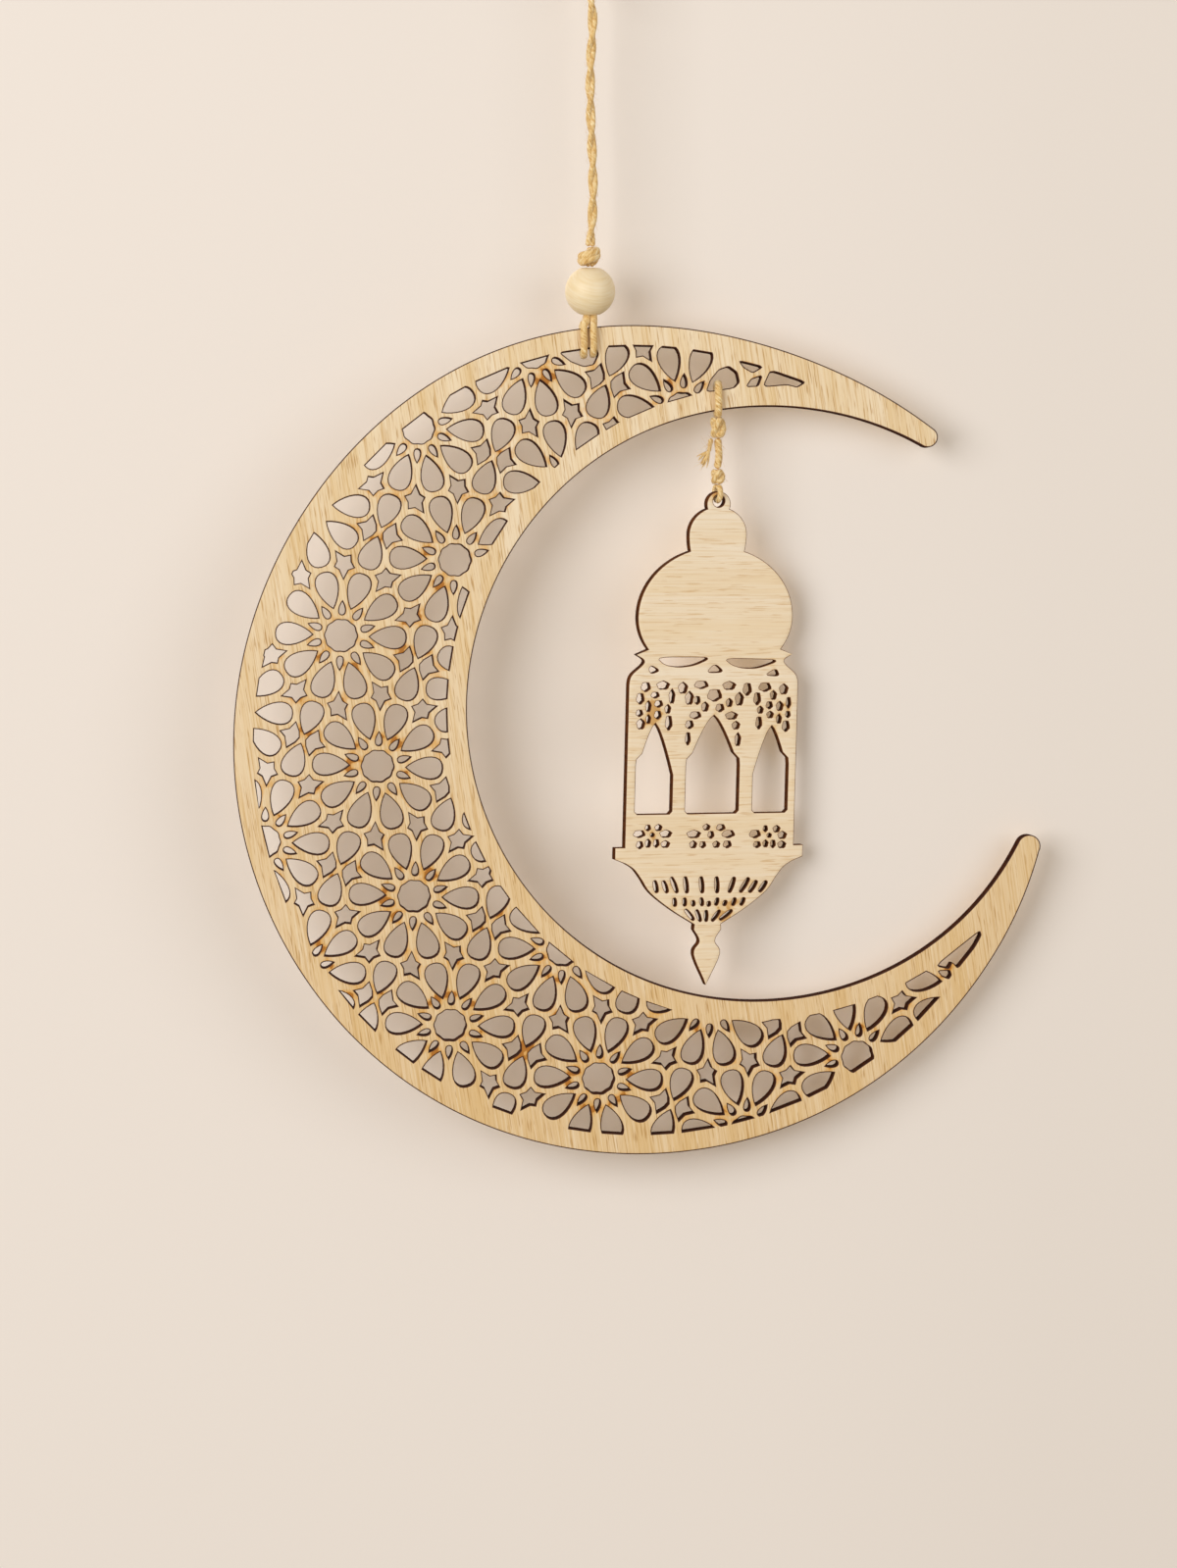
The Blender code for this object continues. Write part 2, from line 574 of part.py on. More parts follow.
def lantern_outline():
    """Right side from the ring's top down to the finial's tip, mirrored for the left side."""
    join = math.acos(0.93)
    side = [(RING_RADIUS * math.sin(t), RING_RADIUS * math.cos(t) - RING_DROP)
            for t in np.linspace(0, math.pi / 2 + join, 7)]
    side += dome_side(SMALL_DOME, side[-1][0] + SHORTEST_SIDE, -side[-1][1], 0)
    side += dome_side(BIG_DOME, side[-1][0], 0, SMALL_FOOT)[1:]
    side += scaled(MOULDING, BODY_HALF, BIG_FOOT, MOULDING_HEIGHT)
    side += [(BODY_HALF, -BODY_TOP), (BODY_HALF, -LEDGE_TOP)]
    side += [(LEDGE_HALF, -LEDGE_TOP), (LEDGE_HALF, -LEDGE_FOOT)]
    side += scaled(BOWL, LEDGE_HALF, LEDGE_FOOT, BOWL_HEIGHT)
    side += scaled(FINIAL, FINIAL_HALF, BOWL_FOOT, FINIAL_LENGTH)
    left = [(-across, height) for across, height in side[:0:-1]]
    return np.array(side + [(0, -BOWL_FOOT - FINIAL_LENGTH)] + left)


def window(middle, half, shoulders, top):
    """Pointed arch with a step at its shoulders and two small bottom corners."""
    middle, half = middle * BODY_HALF, half * BODY_HALF
    top, shoulder, foot = (BODY_TOP + share * BODY_HEIGHT for share in (top, WINDOW_SHOULDER, WINDOW_FOOT))
    left, right = [], []
    for side, points in ((-1, left), (1, right)):
        step = WINDOW_SHOULDER_STEP if side in shoulders else 0
        depth = shoulder - top + (0 if step else WINDOW_PLAIN_SPRING * BODY_HEIGHT)
        for share in (0.25, 0.5, 0.75, 1):
            points.append((middle + side * (half - step) * share ** 0.72, -top - depth * share))
        if step:
            points.append((middle + side * (half - step * 0.1), -shoulder - step * 0.9))
            points.append((middle + side * half, -shoulder - step * 1.8))
        points.append((middle + side * half, -foot + WINDOW_CORNER))
        points.append((middle + side * (half - WINDOW_CORNER), -foot))
    return np.array([(middle, -top)] + right + left[::-1])


def rounded(across, down, width, height, turn):
    """Pebble-shaped opening, a flattened ring of a few points."""
    angles = np.arange(PEBBLE_SIDES) * 2 * math.pi / PEBBLE_SIDES + turn
    x = (across + width / 2 * np.cos(angles)) * BODY_HALF
    return np.c_[x, -BODY_TOP - (down - height / 2 * np.sin(angles)) * BODY_HEIGHT]


def slit(ends, width):
    """Slanted slit, wider at its middle than at its ends."""
    top, foot = np.array(scaled((ends[:2], ends[2:]), LEDGE_HALF, LEDGE_FOOT, BOWL_HEIGHT))
    along = (foot - top) / np.hypot(*(foot - top))
    side = np.array([-along[1], along[0]]) * width / 2
    middle = (top + foot) / 2
    left = [foot - side * 0.8, middle - side, top - side * 0.5]
    right = [top + side * 0.8, middle + side, foot + side * 0.5]
    return np.array(left + right)


def lantern_openings():
    """Hanging hole, eyes, wedges, windows, pebbles, leaves and slits."""
    hole = polar(RING_HOLE_RADIUS, np.arange(12) * math.pi / 6)
    openings = [hole]
    for shape in EYES + WEDGES:
        openings.append(np.array(scaled(shape, BODY_HALF, BIG_FOOT, MOULDING_HEIGHT)))
    openings += [window(*shares) for shares in WINDOWS]
    for number, pebble in enumerate(PEBBLES + LEAVES):
        openings.append(rounded(*pebble, (90 if number % 2 else 54) * DEG))
    rows = (TALL_SLITS, TALL_SLIT_WIDTH), (SHORT_SLITS, SHORT_SLIT_WIDTH), (FAN_SLITS, FAN_SLIT_WIDTH)
    for slits, width in rows:
        for ends in slits:
            openings.append(slit(ends, width))
    return openings


# Making the pieces


def material(name, look):
    made = bpy.data.materials.new(name)
    made.use_nodes = True
    shader = made.node_tree.nodes["Principled BSDF"]
    shader.inputs["Base Color"].default_value = (*look[0], 1)
    shader.inputs["Roughness"].default_value = look[1]
    shader.inputs["Metallic"].default_value = 0
    made.diffuse_color = (*look[0], 1)
    return made


def pivot(name, at, parent=None):
    """Empty on a joint's axis, at a place given in the world."""
    empty = bpy.data.objects.new(name, None)
    empty.empty_display_size = 10 * MM
    bpy.context.collection.objects.link(empty)
    seat(empty, parent, Matrix.Translation(at))
    return empty


def seat(made, parent, world):
    """Places an object in the world, below its parent if it has one; no parent is turned."""
    made.matrix_world = world
    if parent:
        made.parent = parent
        made.location = world.translation - world_place(parent)


def world_place(thing):
    place = Vector(thing.location)
    while thing.parent:
        thing = thing.parent
        place += thing.location
    return place


def add(name, data, look, parent, world):
    made = bpy.data.objects.new(name, data)
    data.materials.append(material(name, look))
    bpy.context.collection.objects.link(made)
    seat(made, parent, world)
    return made


def plate(name, outline, openings, look, parent, world):
    """Flat panel cut from plywood: an outline and its openings, filled and given a thickness."""
    curve = bpy.data.curves.new(name, "CURVE")
    curve.dimensions = "2D"
    curve.fill_mode = "BOTH"
    curve.extrude = PLY_THICKNESS / 2
    for points in [outline, *openings]:
        spline = curve.splines.new("POLY")
        spline.points.add(len(points) - 1)
        spline.points.foreach_set("co", np.c_[points, np.zeros(len(points)), np.ones(len(points))].ravel())
        spline.use_cyclic_u = True
    return add(name, curve, look, parent, world)


def smooth_route(points, spacing, closed=False):
    """Points at even spacing along a smooth curve through a route's own points."""
    knots = [Vector(point) for point in points]
    if closed:
        ends = [knots[-1]] + knots + [knots[0], knots[1]]
    else:
        ends = [2 * knots[0] - knots[1]] + knots + [2 * knots[-1] - knots[-2]]
    dense = []
    for before, start, stop, after in zip(ends, ends[1:], ends[2:], ends[3:]):
        for step in range(12):
            t = step / 12
            square = 2 * before - 5 * start + 4 * stop - after
            cube = 3 * start - before - 3 * stop + after
            dense.append(0.5 * (2 * start + (stop - before) * t + square * t ** 2 + cube * t ** 3))
    dense.append(knots[0] if closed else knots[-1])
    lengths = np.r_[0, np.cumsum([(b - a).length for a, b in zip(dense, dense[1:])])]
    count = max(2, round(lengths[-1] / spacing) + 1)
    marks = np.linspace(0, lengths[-1], count)
    track = np.array(dense)
    return np.stack([np.interp(marks, lengths, track[:, axis]) for axis in range(3)], axis=1)


def tube(name, points, diameter, look, parent, at, spacing=2.5):
    """Cord along a route given in the world, round, with flat ends; spacing is in diameters."""
    track = smooth_route(points, spacing * diameter) - np.array(at)
    curve = bpy.data.curves.new(name, "CURVE")
    curve.dimensions = "3D"
    curve.bevel_depth = diameter / 2
    curve.bevel_resolution = TUBE_RINGS
    curve.use_fill_caps = True
    spline = curve.splines.new("POLY")
    spline.points.add(len(track) - 1)
    spline.points.foreach_set("co", np.c_[track, np.ones(len(track))].ravel())
    return add(name, curve, look, parent, Matrix.Translation(at))


def lathe(name, profile, sides, look, parent, at):
    """Profile of (radius, height) points turned about Z."""
    mesh = bpy.data.meshes.new(name)
    shape = bmesh.new()
    closed = profile[0] == profile[-1]
    rings = []
    for radius, height in profile[:-1] if closed else profile:
        if radius == 0:
            rings.append([shape.verts.new((0, 0, height))])
            continue
        ring = polar(radius, np.arange(sides) * 2 * math.pi / sides)
        rings.append([shape.verts.new((x, y, height)) for x, y in ring])
    pairs = list(zip(rings, rings[1:] + rings[:1])) if closed else list(zip(rings, rings[1:]))
    for low, high in pairs:
        for side in range(sides):
            after = (side + 1) % sides
            corners = [low[side % len(low)], low[after % len(low)]]
            corners += [high[after % len(high)], high[side % len(high)]]
            shape.faces.new(list(dict.fromkeys(corners)))
    bmesh.ops.recalc_face_normals(shape, faces=shape.faces)
    shape.to_mesh(mesh)
    shape.free()
    mesh.shade_smooth()
    mesh.set_sharp_from_angle(angle=40 * DEG)
    return add(name, mesh, look, parent, Matrix.Translation(at))


def knot_profile(diameter, length, seat_radius):
    """Barrel with flat seats at both ends, where the strands meet it."""
    half = length / 2
    swell = [(seat_radius + (diameter / 2 - seat_radius) * math.sin(t), -half * math.cos(t))
             for t in np.linspace(0, math.pi, 8)]
    return [(0, -half)] + swell + [(0, half)]


def ball_profile(diameter, length):
    """Nearly round knot, so that the cord can hinge at its middle."""
    turns = np.linspace(0, math.pi, 9)[1:-1]
    ball = [(diameter / 2 * math.sin(t), -length / 2 * math.cos(t)) for t in turns]
    return [(0, -length / 2)] + ball + [(0, length / 2)]


def bead_profile():
    """Ball with a bore along its axis."""
    radius, bore = BEAD_DIAMETER / 2, BEAD_BORE / 2
    edge = math.asin(bore / radius)
    turns = np.linspace(edge, math.pi - edge, BEAD_RINGS + 1)
    outside = [(radius * math.sin(t), -radius * math.cos(t)) for t in turns]
    return outside + [outside[0]]


# Places along the hanging cord, all in the world

MOON_X = HANG_TO_MOON_CENTRE
TOP_KNOT_TOP = STRAND_DIAMETER / 2 - TOP_LOOP_HEIGHT
CORD_TOP = TOP_KNOT_TOP - TOP_KNOT_LENGTH - TOUCH_GAP
CORD_FOOT = CORD_TOP - CORD_LENGTH
BEAD_KNOT_CENTRE = CORD_FOOT - TOUCH_GAP - BEAD_KNOT_LENGTH / 2
BEAD_HALF = math.sqrt((BEAD_DIAMETER / 2) ** 2 - (BEAD_BORE / 2) ** 2)
BEAD_CENTRE = BEAD_KNOT_CENTRE - BEAD_KNOT_LENGTH / 2 - TOUCH_GAP - BEAD_HALF
RIM_TOP = BEAD_CENTRE - BEAD_HALF - BEAD_TO_RIM


MOON_Z = RIM_TOP - edge_height(-MOON_X, lambda p: inside_outer(p, 0), True)


def slot_top(across):
    """Height of the rim's lower edge, over the openings, at a place across from the hook."""
    return MOON_Z + edge_height(across - MOON_X, under_outer_rim, True)


STRAND_PITCH = STRAND_DIAMETER + STRAND_PAIR_GAP
WRAP_RADIUS = PLY_THICKNESS / 2 + TOUCH_GAP + STRAND_DIAMETER / 2
WRAP_INNER = WRAP_RADIUS - STRAND_DIAMETER / 2
WRAP_RISE = math.sqrt(WRAP_INNER ** 2 - (PLY_THICKNESS / 2) ** 2)
ROCK_Z = slot_top(STRAND_SHIFT) - LOOP_CLEARANCE
INNER_EDGE = MOON_Z + edge_height(LANTERN_X, lambda p: -outside_inner(p, 0), True)
BAND_TOP = MOON_Z + edge_height(LANTERN_X, over_inner_rim, True)
THIN_WRAP = PLY_THICKNESS / 2 + TOUCH_GAP + THIN_CORD_DIAMETER / 2
THIN_INNER = THIN_WRAP - THIN_CORD_DIAMETER / 2
THIN_RISE = math.sqrt(THIN_INNER ** 2 - (PLY_THICKNESS / 2) ** 2)
BAND_WRAP_CENTRE = BAND_TOP + TOUCH_GAP - THIN_RISE
UPPER_KNOT_TOP = INNER_EDGE - RIM_LOOP_DROP
STRAND_TOP = UPPER_KNOT_TOP - UPPER_KNOT[1] - TOUCH_GAP
STRAND_FOOT = STRAND_TOP - STRAND_LENGTH
LOWER_KNOT_FOOT = STRAND_FOOT - TOUCH_GAP - LOWER_KNOT[1]
RING_TOP = LOWER_KNOT_FOOT - RING_LOOP_DROP
HOLE_Z = RING_TOP - RING_RADIUS + RING_DROP


def arc_down(centre_z, radius, count):
    """Half circle below its centre, from the front to the back, as (y, z) points."""
    turns = np.linspace(0, math.pi, count)
    return [(-radius * math.cos(t), centre_z - radius * math.sin(t)) for t in turns]


def build():
    for thing in list(bpy.data.objects):
        bpy.data.objects.remove(thing)

    top = (0, 0, 0)
    strand = STRAND_DIAMETER
    half_loop = TOP_LOOP_WIDTH / 2 - strand / 2
    leg = STRAND_PITCH / 2
    loop_foot = TOP_KNOT_TOP + TOUCH_GAP
    loop_side = [(-leg, 0, loop_foot), (-leg * 1.6, 0, loop_foot * 0.84)]
    loop_side += [(-half_loop * 0.8, 0, loop_foot * 0.56), (-half_loop, 0, loop_foot * 0.3)]
    loop_side += [(-half_loop * 0.68, 0, loop_foot * 0.08)]
    loop_route = loop_side + [(0, 0, strand / 2)] + [(-x, y, z) for x, y, z in loop_side[::-1]]
    tube("top_loop", loop_route, strand, JUTE, None, top, 1.6)

    knot_at = (0, 0, TOP_KNOT_TOP - TOP_KNOT_LENGTH / 2)
    swing = pivot("cord_swing_pivot", knot_at)
    lathe("top_knot", ball_profile(KNOT_DIAMETER, TOP_KNOT_LENGTH), KNOT_SIDES, JUTE, swing, knot_at)
    heights = np.linspace(CORD_TOP, CORD_FOOT, len(CORD_SWAY) + 2)
    sway = [0, *CORD_SWAY, 0]
    tube("hanging_cord", [(x, 0, z) for x, z in zip(sway, heights)], CORD_DIAMETER, JUTE, swing, knot_at)
    knot = knot_profile(KNOT_DIAMETER, BEAD_KNOT_LENGTH, CORD_DIAMETER / 2 + STRAND_PAIR_GAP)
    lathe("bead_knot", knot, KNOT_SIDES, JUTE, swing, (0, 0, BEAD_KNOT_CENTRE))
    bead_slide = pivot("bead_slide_pivot", (0, 0, BEAD_CENTRE), swing)
    lathe("wood_bead", bead_profile(), BEAD_SIDES, BEAD_WOOD, bead_slide, (0, 0, BEAD_CENTRE))

    twist = pivot("moon_twist_pivot", (0, 0, BEAD_KNOT_CENTRE), swing)
    strand_top = BEAD_KNOT_CENTRE - BEAD_KNOT_LENGTH / 2 - TOUCH_GAP
    bead_foot = BEAD_CENTRE - BEAD_HALF
    for name, side in (("rim_loop_left", -1), ("rim_loop_right", 1)):
        x_low = STRAND_SHIFT + side * STRAND_SPREAD / 2
        front = [(side * leg, -leg, strand_top), (side * leg, -leg, bead_foot)]
        front.append((x_low, -WRAP_RADIUS, RIM_TOP + TOUCH_GAP))
        back = [(x, -y, z) for x, y, z in front[::-1]]
        arc = arc_down(slot_top(x_low - strand / 2) - LOOP_CLEARANCE + WRAP_RISE, WRAP_RADIUS, 7)
        route = front + [(x_low, y, z) for y, z in arc] + back
        tube(name, route, strand, JUTE, twist, (0, 0, BEAD_KNOT_CENTRE), 1)

    rock = pivot("moon_rock_pivot", (STRAND_SHIFT, 0, ROCK_Z), twist)
    upright = Matrix.Rotation(math.pi / 2, 4, "X")
    moon_at = Matrix.Translation((MOON_X, 0, MOON_Z)) @ upright
    plate("crescent_panel", moon_outline(), moon_openings(), PLYWOOD, rock, moon_at)

    x = HANG_TO_LANTERN
    swing_at = (x, 0, BAND_TOP)
    lantern_swing = pivot("lantern_swing_pivot", swing_at, rock)
    thin = THIN_CORD_DIAMETER
    knot_leg = (thin + STRAND_PAIR_GAP) / 2
    shoulder = [(x, -knot_leg, UPPER_KNOT_TOP + TOUCH_GAP)]
    shoulder.append((x, -knot_leg, UPPER_KNOT_TOP + RIM_LOOP_DROP * 0.3))
    shoulder.append((x, -THIN_WRAP * 0.86, INNER_EDGE - RIM_LOOP_DROP * 0.25))
    shoulder.append((x, -THIN_WRAP, INNER_EDGE + RIM_LOOP_DROP * 0.5))
    over = [(x, y, 2 * BAND_WRAP_CENTRE - z) for y, z in arc_down(BAND_WRAP_CENTRE, THIN_WRAP, 7)]
    tube("lantern_rim_loop", shoulder + over + [(x, -y, z) for x, y, z in shoulder[::-1]], thin, JUTE,
         lantern_swing, swing_at, 0.4)
    seat_radius = thin + STRAND_PAIR_GAP
    knot = knot_profile(*UPPER_KNOT, seat_radius)
    knot_at = (x, 0, UPPER_KNOT_TOP - UPPER_KNOT[1] / 2)
    lathe("lantern_upper_knot", knot, KNOT_SIDES, JUTE, lantern_swing, knot_at)
    strand_middle = (x + 0.2 * thin, 0, (STRAND_TOP + STRAND_FOOT) / 2)
    route = [(x, 0, STRAND_TOP), strand_middle, (x, 0, STRAND_FOOT)]
    tube("lantern_strand", route, thin, JUTE, lantern_swing, swing_at, 1.5)
    tail_top = (x - thin - STRAND_PAIR_GAP, -thin / 2, STRAND_TOP)
    tail_foot = (tail_top[0] - TAIL_SPREAD, tail_top[1] - thin / 2, STRAND_TOP - TAIL_LENGTH)
    tail_middle = (tail_top[0] - TAIL_SPREAD / 4, tail_top[1], STRAND_TOP - TAIL_LENGTH / 2)
    tube("lantern_tail", [tail_top, tail_middle, tail_foot], thin, JUTE, lantern_swing, swing_at, 1)
    knot = knot_profile(*LOWER_KNOT, seat_radius)
    knot_at = (x, 0, LOWER_KNOT_FOOT + LOWER_KNOT[1] / 2)
    lathe("lantern_lower_knot", knot, KNOT_SIDES, JUTE, lantern_swing, knot_at)

    hole = (x, 0, HOLE_Z)
    lantern_twist = pivot("lantern_twist_pivot", hole, lantern_swing)
    turn = Matrix.Rotation(LANTERN_YAW, 4, "Z") @ Matrix.Rotation(LANTERN_LEAN, 4, "Y")
    panel_at = Matrix.Translation(hole) @ turn @ upright
    plate("lantern_panel", lantern_outline(), lantern_openings(), LANTERN_PLYWOOD, lantern_twist, panel_at)
    ring_wrap = HOLE_Z + RING_HOLE_RADIUS - TOUCH_GAP + THIN_RISE
    neck = [(0, -knot_leg, LOWER_KNOT_FOOT - TOUCH_GAP)]
    neck.append((0, -knot_leg, LOWER_KNOT_FOOT - RING_LOOP_DROP * 0.3))
    neck.append((0, -THIN_WRAP * 0.86, RING_TOP + RING_LOOP_DROP * 0.25))
    neck.append((0, -THIN_WRAP, RING_TOP - RING_LOOP_DROP * 0.2))
    under = [(0, y, z) for y, z in arc_down(ring_wrap, THIN_WRAP, 7)]
    route = neck + under + [(0, -y, z) for _, y, z in neck[::-1]]
    facing = Matrix.Rotation(LANTERN_YAW, 3, "Z")
    route = [facing @ Vector(point) + Vector((x, 0, 0)) for point in route]
    tube("lantern_ring_loop", route, thin, JUTE, lantern_twist, hole, 0.4)


build()
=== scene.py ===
"""Crescent moon wall hanging: fretwork plywood moon and lantern on jute cords, with a turned bead."""

import math

import bpy
import numpy as np
from mathutils import Matrix, Vector
from mathutils.geometry import delaunay_2d_cdt


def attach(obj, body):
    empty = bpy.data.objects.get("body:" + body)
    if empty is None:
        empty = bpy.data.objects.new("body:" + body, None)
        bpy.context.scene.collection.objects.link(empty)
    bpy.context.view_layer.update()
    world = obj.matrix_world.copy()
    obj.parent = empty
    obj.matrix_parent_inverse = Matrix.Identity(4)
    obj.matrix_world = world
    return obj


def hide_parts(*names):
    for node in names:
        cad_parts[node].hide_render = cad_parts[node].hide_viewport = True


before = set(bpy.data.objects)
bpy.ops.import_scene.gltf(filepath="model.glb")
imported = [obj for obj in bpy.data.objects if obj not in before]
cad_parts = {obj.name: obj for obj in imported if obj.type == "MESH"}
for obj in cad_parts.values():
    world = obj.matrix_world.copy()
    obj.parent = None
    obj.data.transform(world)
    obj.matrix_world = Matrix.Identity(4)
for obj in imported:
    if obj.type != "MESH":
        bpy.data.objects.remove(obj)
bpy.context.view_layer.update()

MM = 0.001
DEG = math.pi / 180

# The camera stands a little to the left of the hanging and a little above its middle
LOOKED_AT = Vector((0.0205, 0, -0.305))
CAMERA_DISTANCE = 2.0
CAMERA_AZIMUTH = 5.987 * DEG
CAMERA_ELEVATION = 6.029 * DEG
FOCAL_PIXELS = 5623.8
LOOKED_AT_PIXEL = (658.967, 757.357)
PICTURE = (1200, 1599)
SENSOR = 36.0

WALL_DISTANCE = 24 * MM
WALL_REACH = 3.0
WALL_BEND = (70 * MM, 170 * MM)
WALL_COLOUR = "#EEE6DD"

# Plywood, and the clearances that the solids keep
PLY_THICKNESS = 3.0 * MM
TOUCH_GAP = 0.3 * MM
LOOP_CLEARANCE = 0.6 * MM
MOON_SINGE = 0.45 * MM
LANTERN_SINGE = 0.27 * MM
ARRIS_DEPTH = 0.12 * MM
ROOM_AHEAD = 0.4 * MM
LEAST_WOOD = 0.27
ROOMY_WOOD = 0.68
# The laser's beam leans away from the middle of its bed, so the moon's cuts lean too: on the back all of
# the moon is smaller by this share about this point, and the walls show as wide as in the photograph
BEAM_LEAN = 0.00275
BEAM_MIDDLE = (-80 * MM, -333 * MM)

# Points between the cuts, and the scorch: both come from maps of the wood and of its cut lines, blurred
# by these lengths. Scorch is a share of what all but the hottest hundredth of the wood has.
LATTICE = 1.3 * MM
LATTICE_ROW = 0.866 * LATTICE
CELL = 0.3 * MM
MAP_MARGIN = 6 * MM
CLEAR_BLUR = 0.5 * MM
CLEAR_OF_CUTS = 0.955
NEAR_HEAT = 0.8 * MM
FAR_HEAT = 2.3 * MM
FAR_HEAT_WEIGHT = 1.8
HOTTEST = 99.0
BACK_HEAT = 0.7

# Hanging cord, from the hook down to the moon's rim: two strands, folded in half at the top loop
STRAND_DIAMETER = 2.0 * MM
TOP_LOOP_HEIGHT = 26.0 * MM
TOP_LOOP_WIDTH = 14.0 * MM
TOP_KNOT_LENGTH = 8.0 * MM
CORD_LENGTH = 92.5 * MM
BEAD_KNOT_LENGTH = 7.0 * MM
KNOT_DIAMETER = 8.4 * MM
BEAD_DIAMETER = 18.0 * MM
BEAD_BORE = 6.2 * MM
BEAD_SIDES = 96
BEAD_TO_RIM = 4.4 * MM
STRAND_PAIR_GAP = 0.3 * MM
STRAND_SPREAD = 3.4 * MM
STRAND_SHIFT = -0.7 * MM
CORD_SWAY = (0.9 * MM, 0.2 * MM, 0.1 * MM, 0.5 * MM, 1.0 * MM, 0.9 * MM)

# Moon: two nearly round edges, each with a few gentle swells (waves per turn, height, direction);
# the inner circle lies off centre, towards the mouth, MOON_MOUTH short of the outer one
MOON_OUTER_RADIUS = 151.6 * MM
MOON_WIDEST = 86.15 * MM
MOON_MOUTH = 0.45 * MM
MOUTH_TURN = 17.8 * DEG
OUTER_SWELLS = ((2, 1.05 * MM, 31 * DEG), (3, 1.45 * MM, 16.5 * DEG), (4, 1.1 * MM, 24.5 * DEG),
                (5, 0.55 * MM, 27.5 * DEG))
INNER_SWELLS = ((2, 1.05 * MM, 60 * DEG), (3, 0.5 * MM, 44 * DEG), (4, 0.5 * MM, 40.5 * DEG),
                (5, 0.25 * MM, 35.5 * DEG))
UPPER_HORN_WIDTH = 7.3 * MM
LOWER_HORN_WIDTH = 8.5 * MM
LOWER_HORN_TAPER = (1.4 * MM, -32 * DEG, 16 * DEG)
HANG_TO_MOON_CENTRE = 22.3 * MM
RIM_WIDTH = 7.4 * MM
EDGE_STEP = 0.5 * DEG
HORN_STEPS = 14

# Fretwork: ten-petalled rosettes on a slanted grid, with bow ties between them
ROSETTE_PITCH = 49.2 * MM
GRID_TURN = 33.3 * DEG
FIRST_ROSETTE = (-99.4 * MM, -8.1 * MM)
PETALS = 10
PETAL_STEP = 2 * math.pi / PETALS
GRID_OBTUSE = 3 * PETAL_STEP

# One rosette's shapes as shares of the pitch: where they start and end, widths, radii and arms
PETAL_REACH = (0.2114, 0.4756)
PETAL_WIDTH = 0.1590
BOW_REACH = (0.0406, 0.2846)
BOW_WIDTH = 0.1630
SLOT_REACH = (0.1545, 0.248)
SLOT_WIDTH = 0.0447
HUB_RADIUS = 0.1148
HUB_RIPPLE = 0.003
STAR_ARMS = (0.0763, 0.1068, 0.0681, 0.1068, 0.0763)
STAR_WAIST = 0.0510
ARROW_ARMS = (0.0935, 0.0813, 0.0935)
ARROW_WAIST = 0.0447
ARROW_BACK = 0.0589
ARROW_CENTRE = 0.5
FRET_ENDS = (-39.5 * DEG, 77 * DEG)
SHORTEST_SIDE = 0.06 * MM

# Share of an opening that has to clear the rims, or else it is left solid, where the outer rim cuts it
# and where only the inner one does: large ones, stars, slots. A few slivers stay all the same, in these
# directions from the moon's centre.
LEAST_LARGE = (0.20, 0.10)
LEAST_STAR = (0.60, 0.20)
LEAST_SLOT = (0.90, 0.90)
KEPT_SLIVERS = (85 * DEG, -76 * DEG, -140 * DEG, -157 * DEG, -173 * DEG)
KEPT_SLIVER_LEAST = 0.05
KEPT_SLIVER_SPREAD = 2 * DEG

# Openings that end the fretwork at the horns: degrees from the horn's tip, and the share of the
# way across to the outer edge
UPPER_HORN_OPENINGS = (
    ((24.7, 0.335), (24.4, 0.613), (19.1, 0.538), (19.9, 0.414), (21.4, 0.426)),
    ((29.2, 0.674), (25.8, 0.645), (26.9, 0.536), (28.4, 0.597)),
    ((27.2, 0.317), (26.8, 0.427), (25.5, 0.498), (25.6, 0.336)),
)
LOWER_HORN_OPENINGS = (
    ((22.1, 0.33), (21.3, 0.494), (20.4, 0.465), (20.2, 0.497), (20.4, 0.601), (16.5, 0.581),
     (14.5, 0.534), (14.1, 0.462)),
    ((22.6, 0.417), (22.8, 0.515), (22.5, 0.611), (21.9, 0.6), (21.5, 0.532)),
)

# Openings that the two cords pass through, in mm: across from the cord, and off the rim's edge
HANG_OPENING = ((1.8, 0), (2.7, 2.7), (1.2, 5.8), (-2.3, 6.2), (-6.9, 3.8), (-10.5, 0.3), (-10.0, 0))
LANTERN_OPENING = ((-4.1, 0), (-2.7, 3.7), (0.4, 7.0), (3.8, 7.7), (6.7, 5.3), (7.5, 1.8), (5.7, 0))
LEAST_STRAP = 0.8 * MM

# Lantern: depths are measured down from the foot of the part above, half widths from its middle line
LANTERN_YAW = 15 * DEG
LANTERN_LEAN = 1.5 * DEG
RING_RADIUS = 4.6 * MM
RING_DROP = 1.2 * MM
RING_HOLE_RADIUS = 2.3 * MM
DOME_STEPS = 18

# Domes: half width, its depth, height of the dome, and the share of its half width left at its foot
SMALL_DOME = (11.2 * MM, 12.2 * MM, 18.2 * MM, 0.94)
BIG_DOME = (30.1 * MM, 23.8 * MM, 35.5 * MM, 0.857)
MOULDING_HEIGHT = 12.7 * MM
BODY_HALF = 33.0 * MM
BODY_HEIGHT = 59.1 * MM
LEDGE_OVERHANG = 3.7 * MM
LEDGE_HEIGHT = 4.3 * MM
BOWL_HEIGHT = 24.3 * MM
FINIAL_HALF = 5.4 * MM
FINIAL_LENGTH = 22.3 * MM

# Profiles as shares: of the body's half and the moulding's height, the ledge's half and the bowl's
# height, and the finial's own half and length
MOULDING = ((0.92, 0.15), (0.825, 0.355), (0.955, 0.68), (0.99, 0.84))
BOWL = ((0.888, 0.066), (0.798, 0.152), (0.719, 0.3), (0.616, 0.515), (0.395, 0.77), (0.142, 1.0))
FINIAL = ((1.0, 0.085), (0.575, 0.275), (0.965, 0.49))

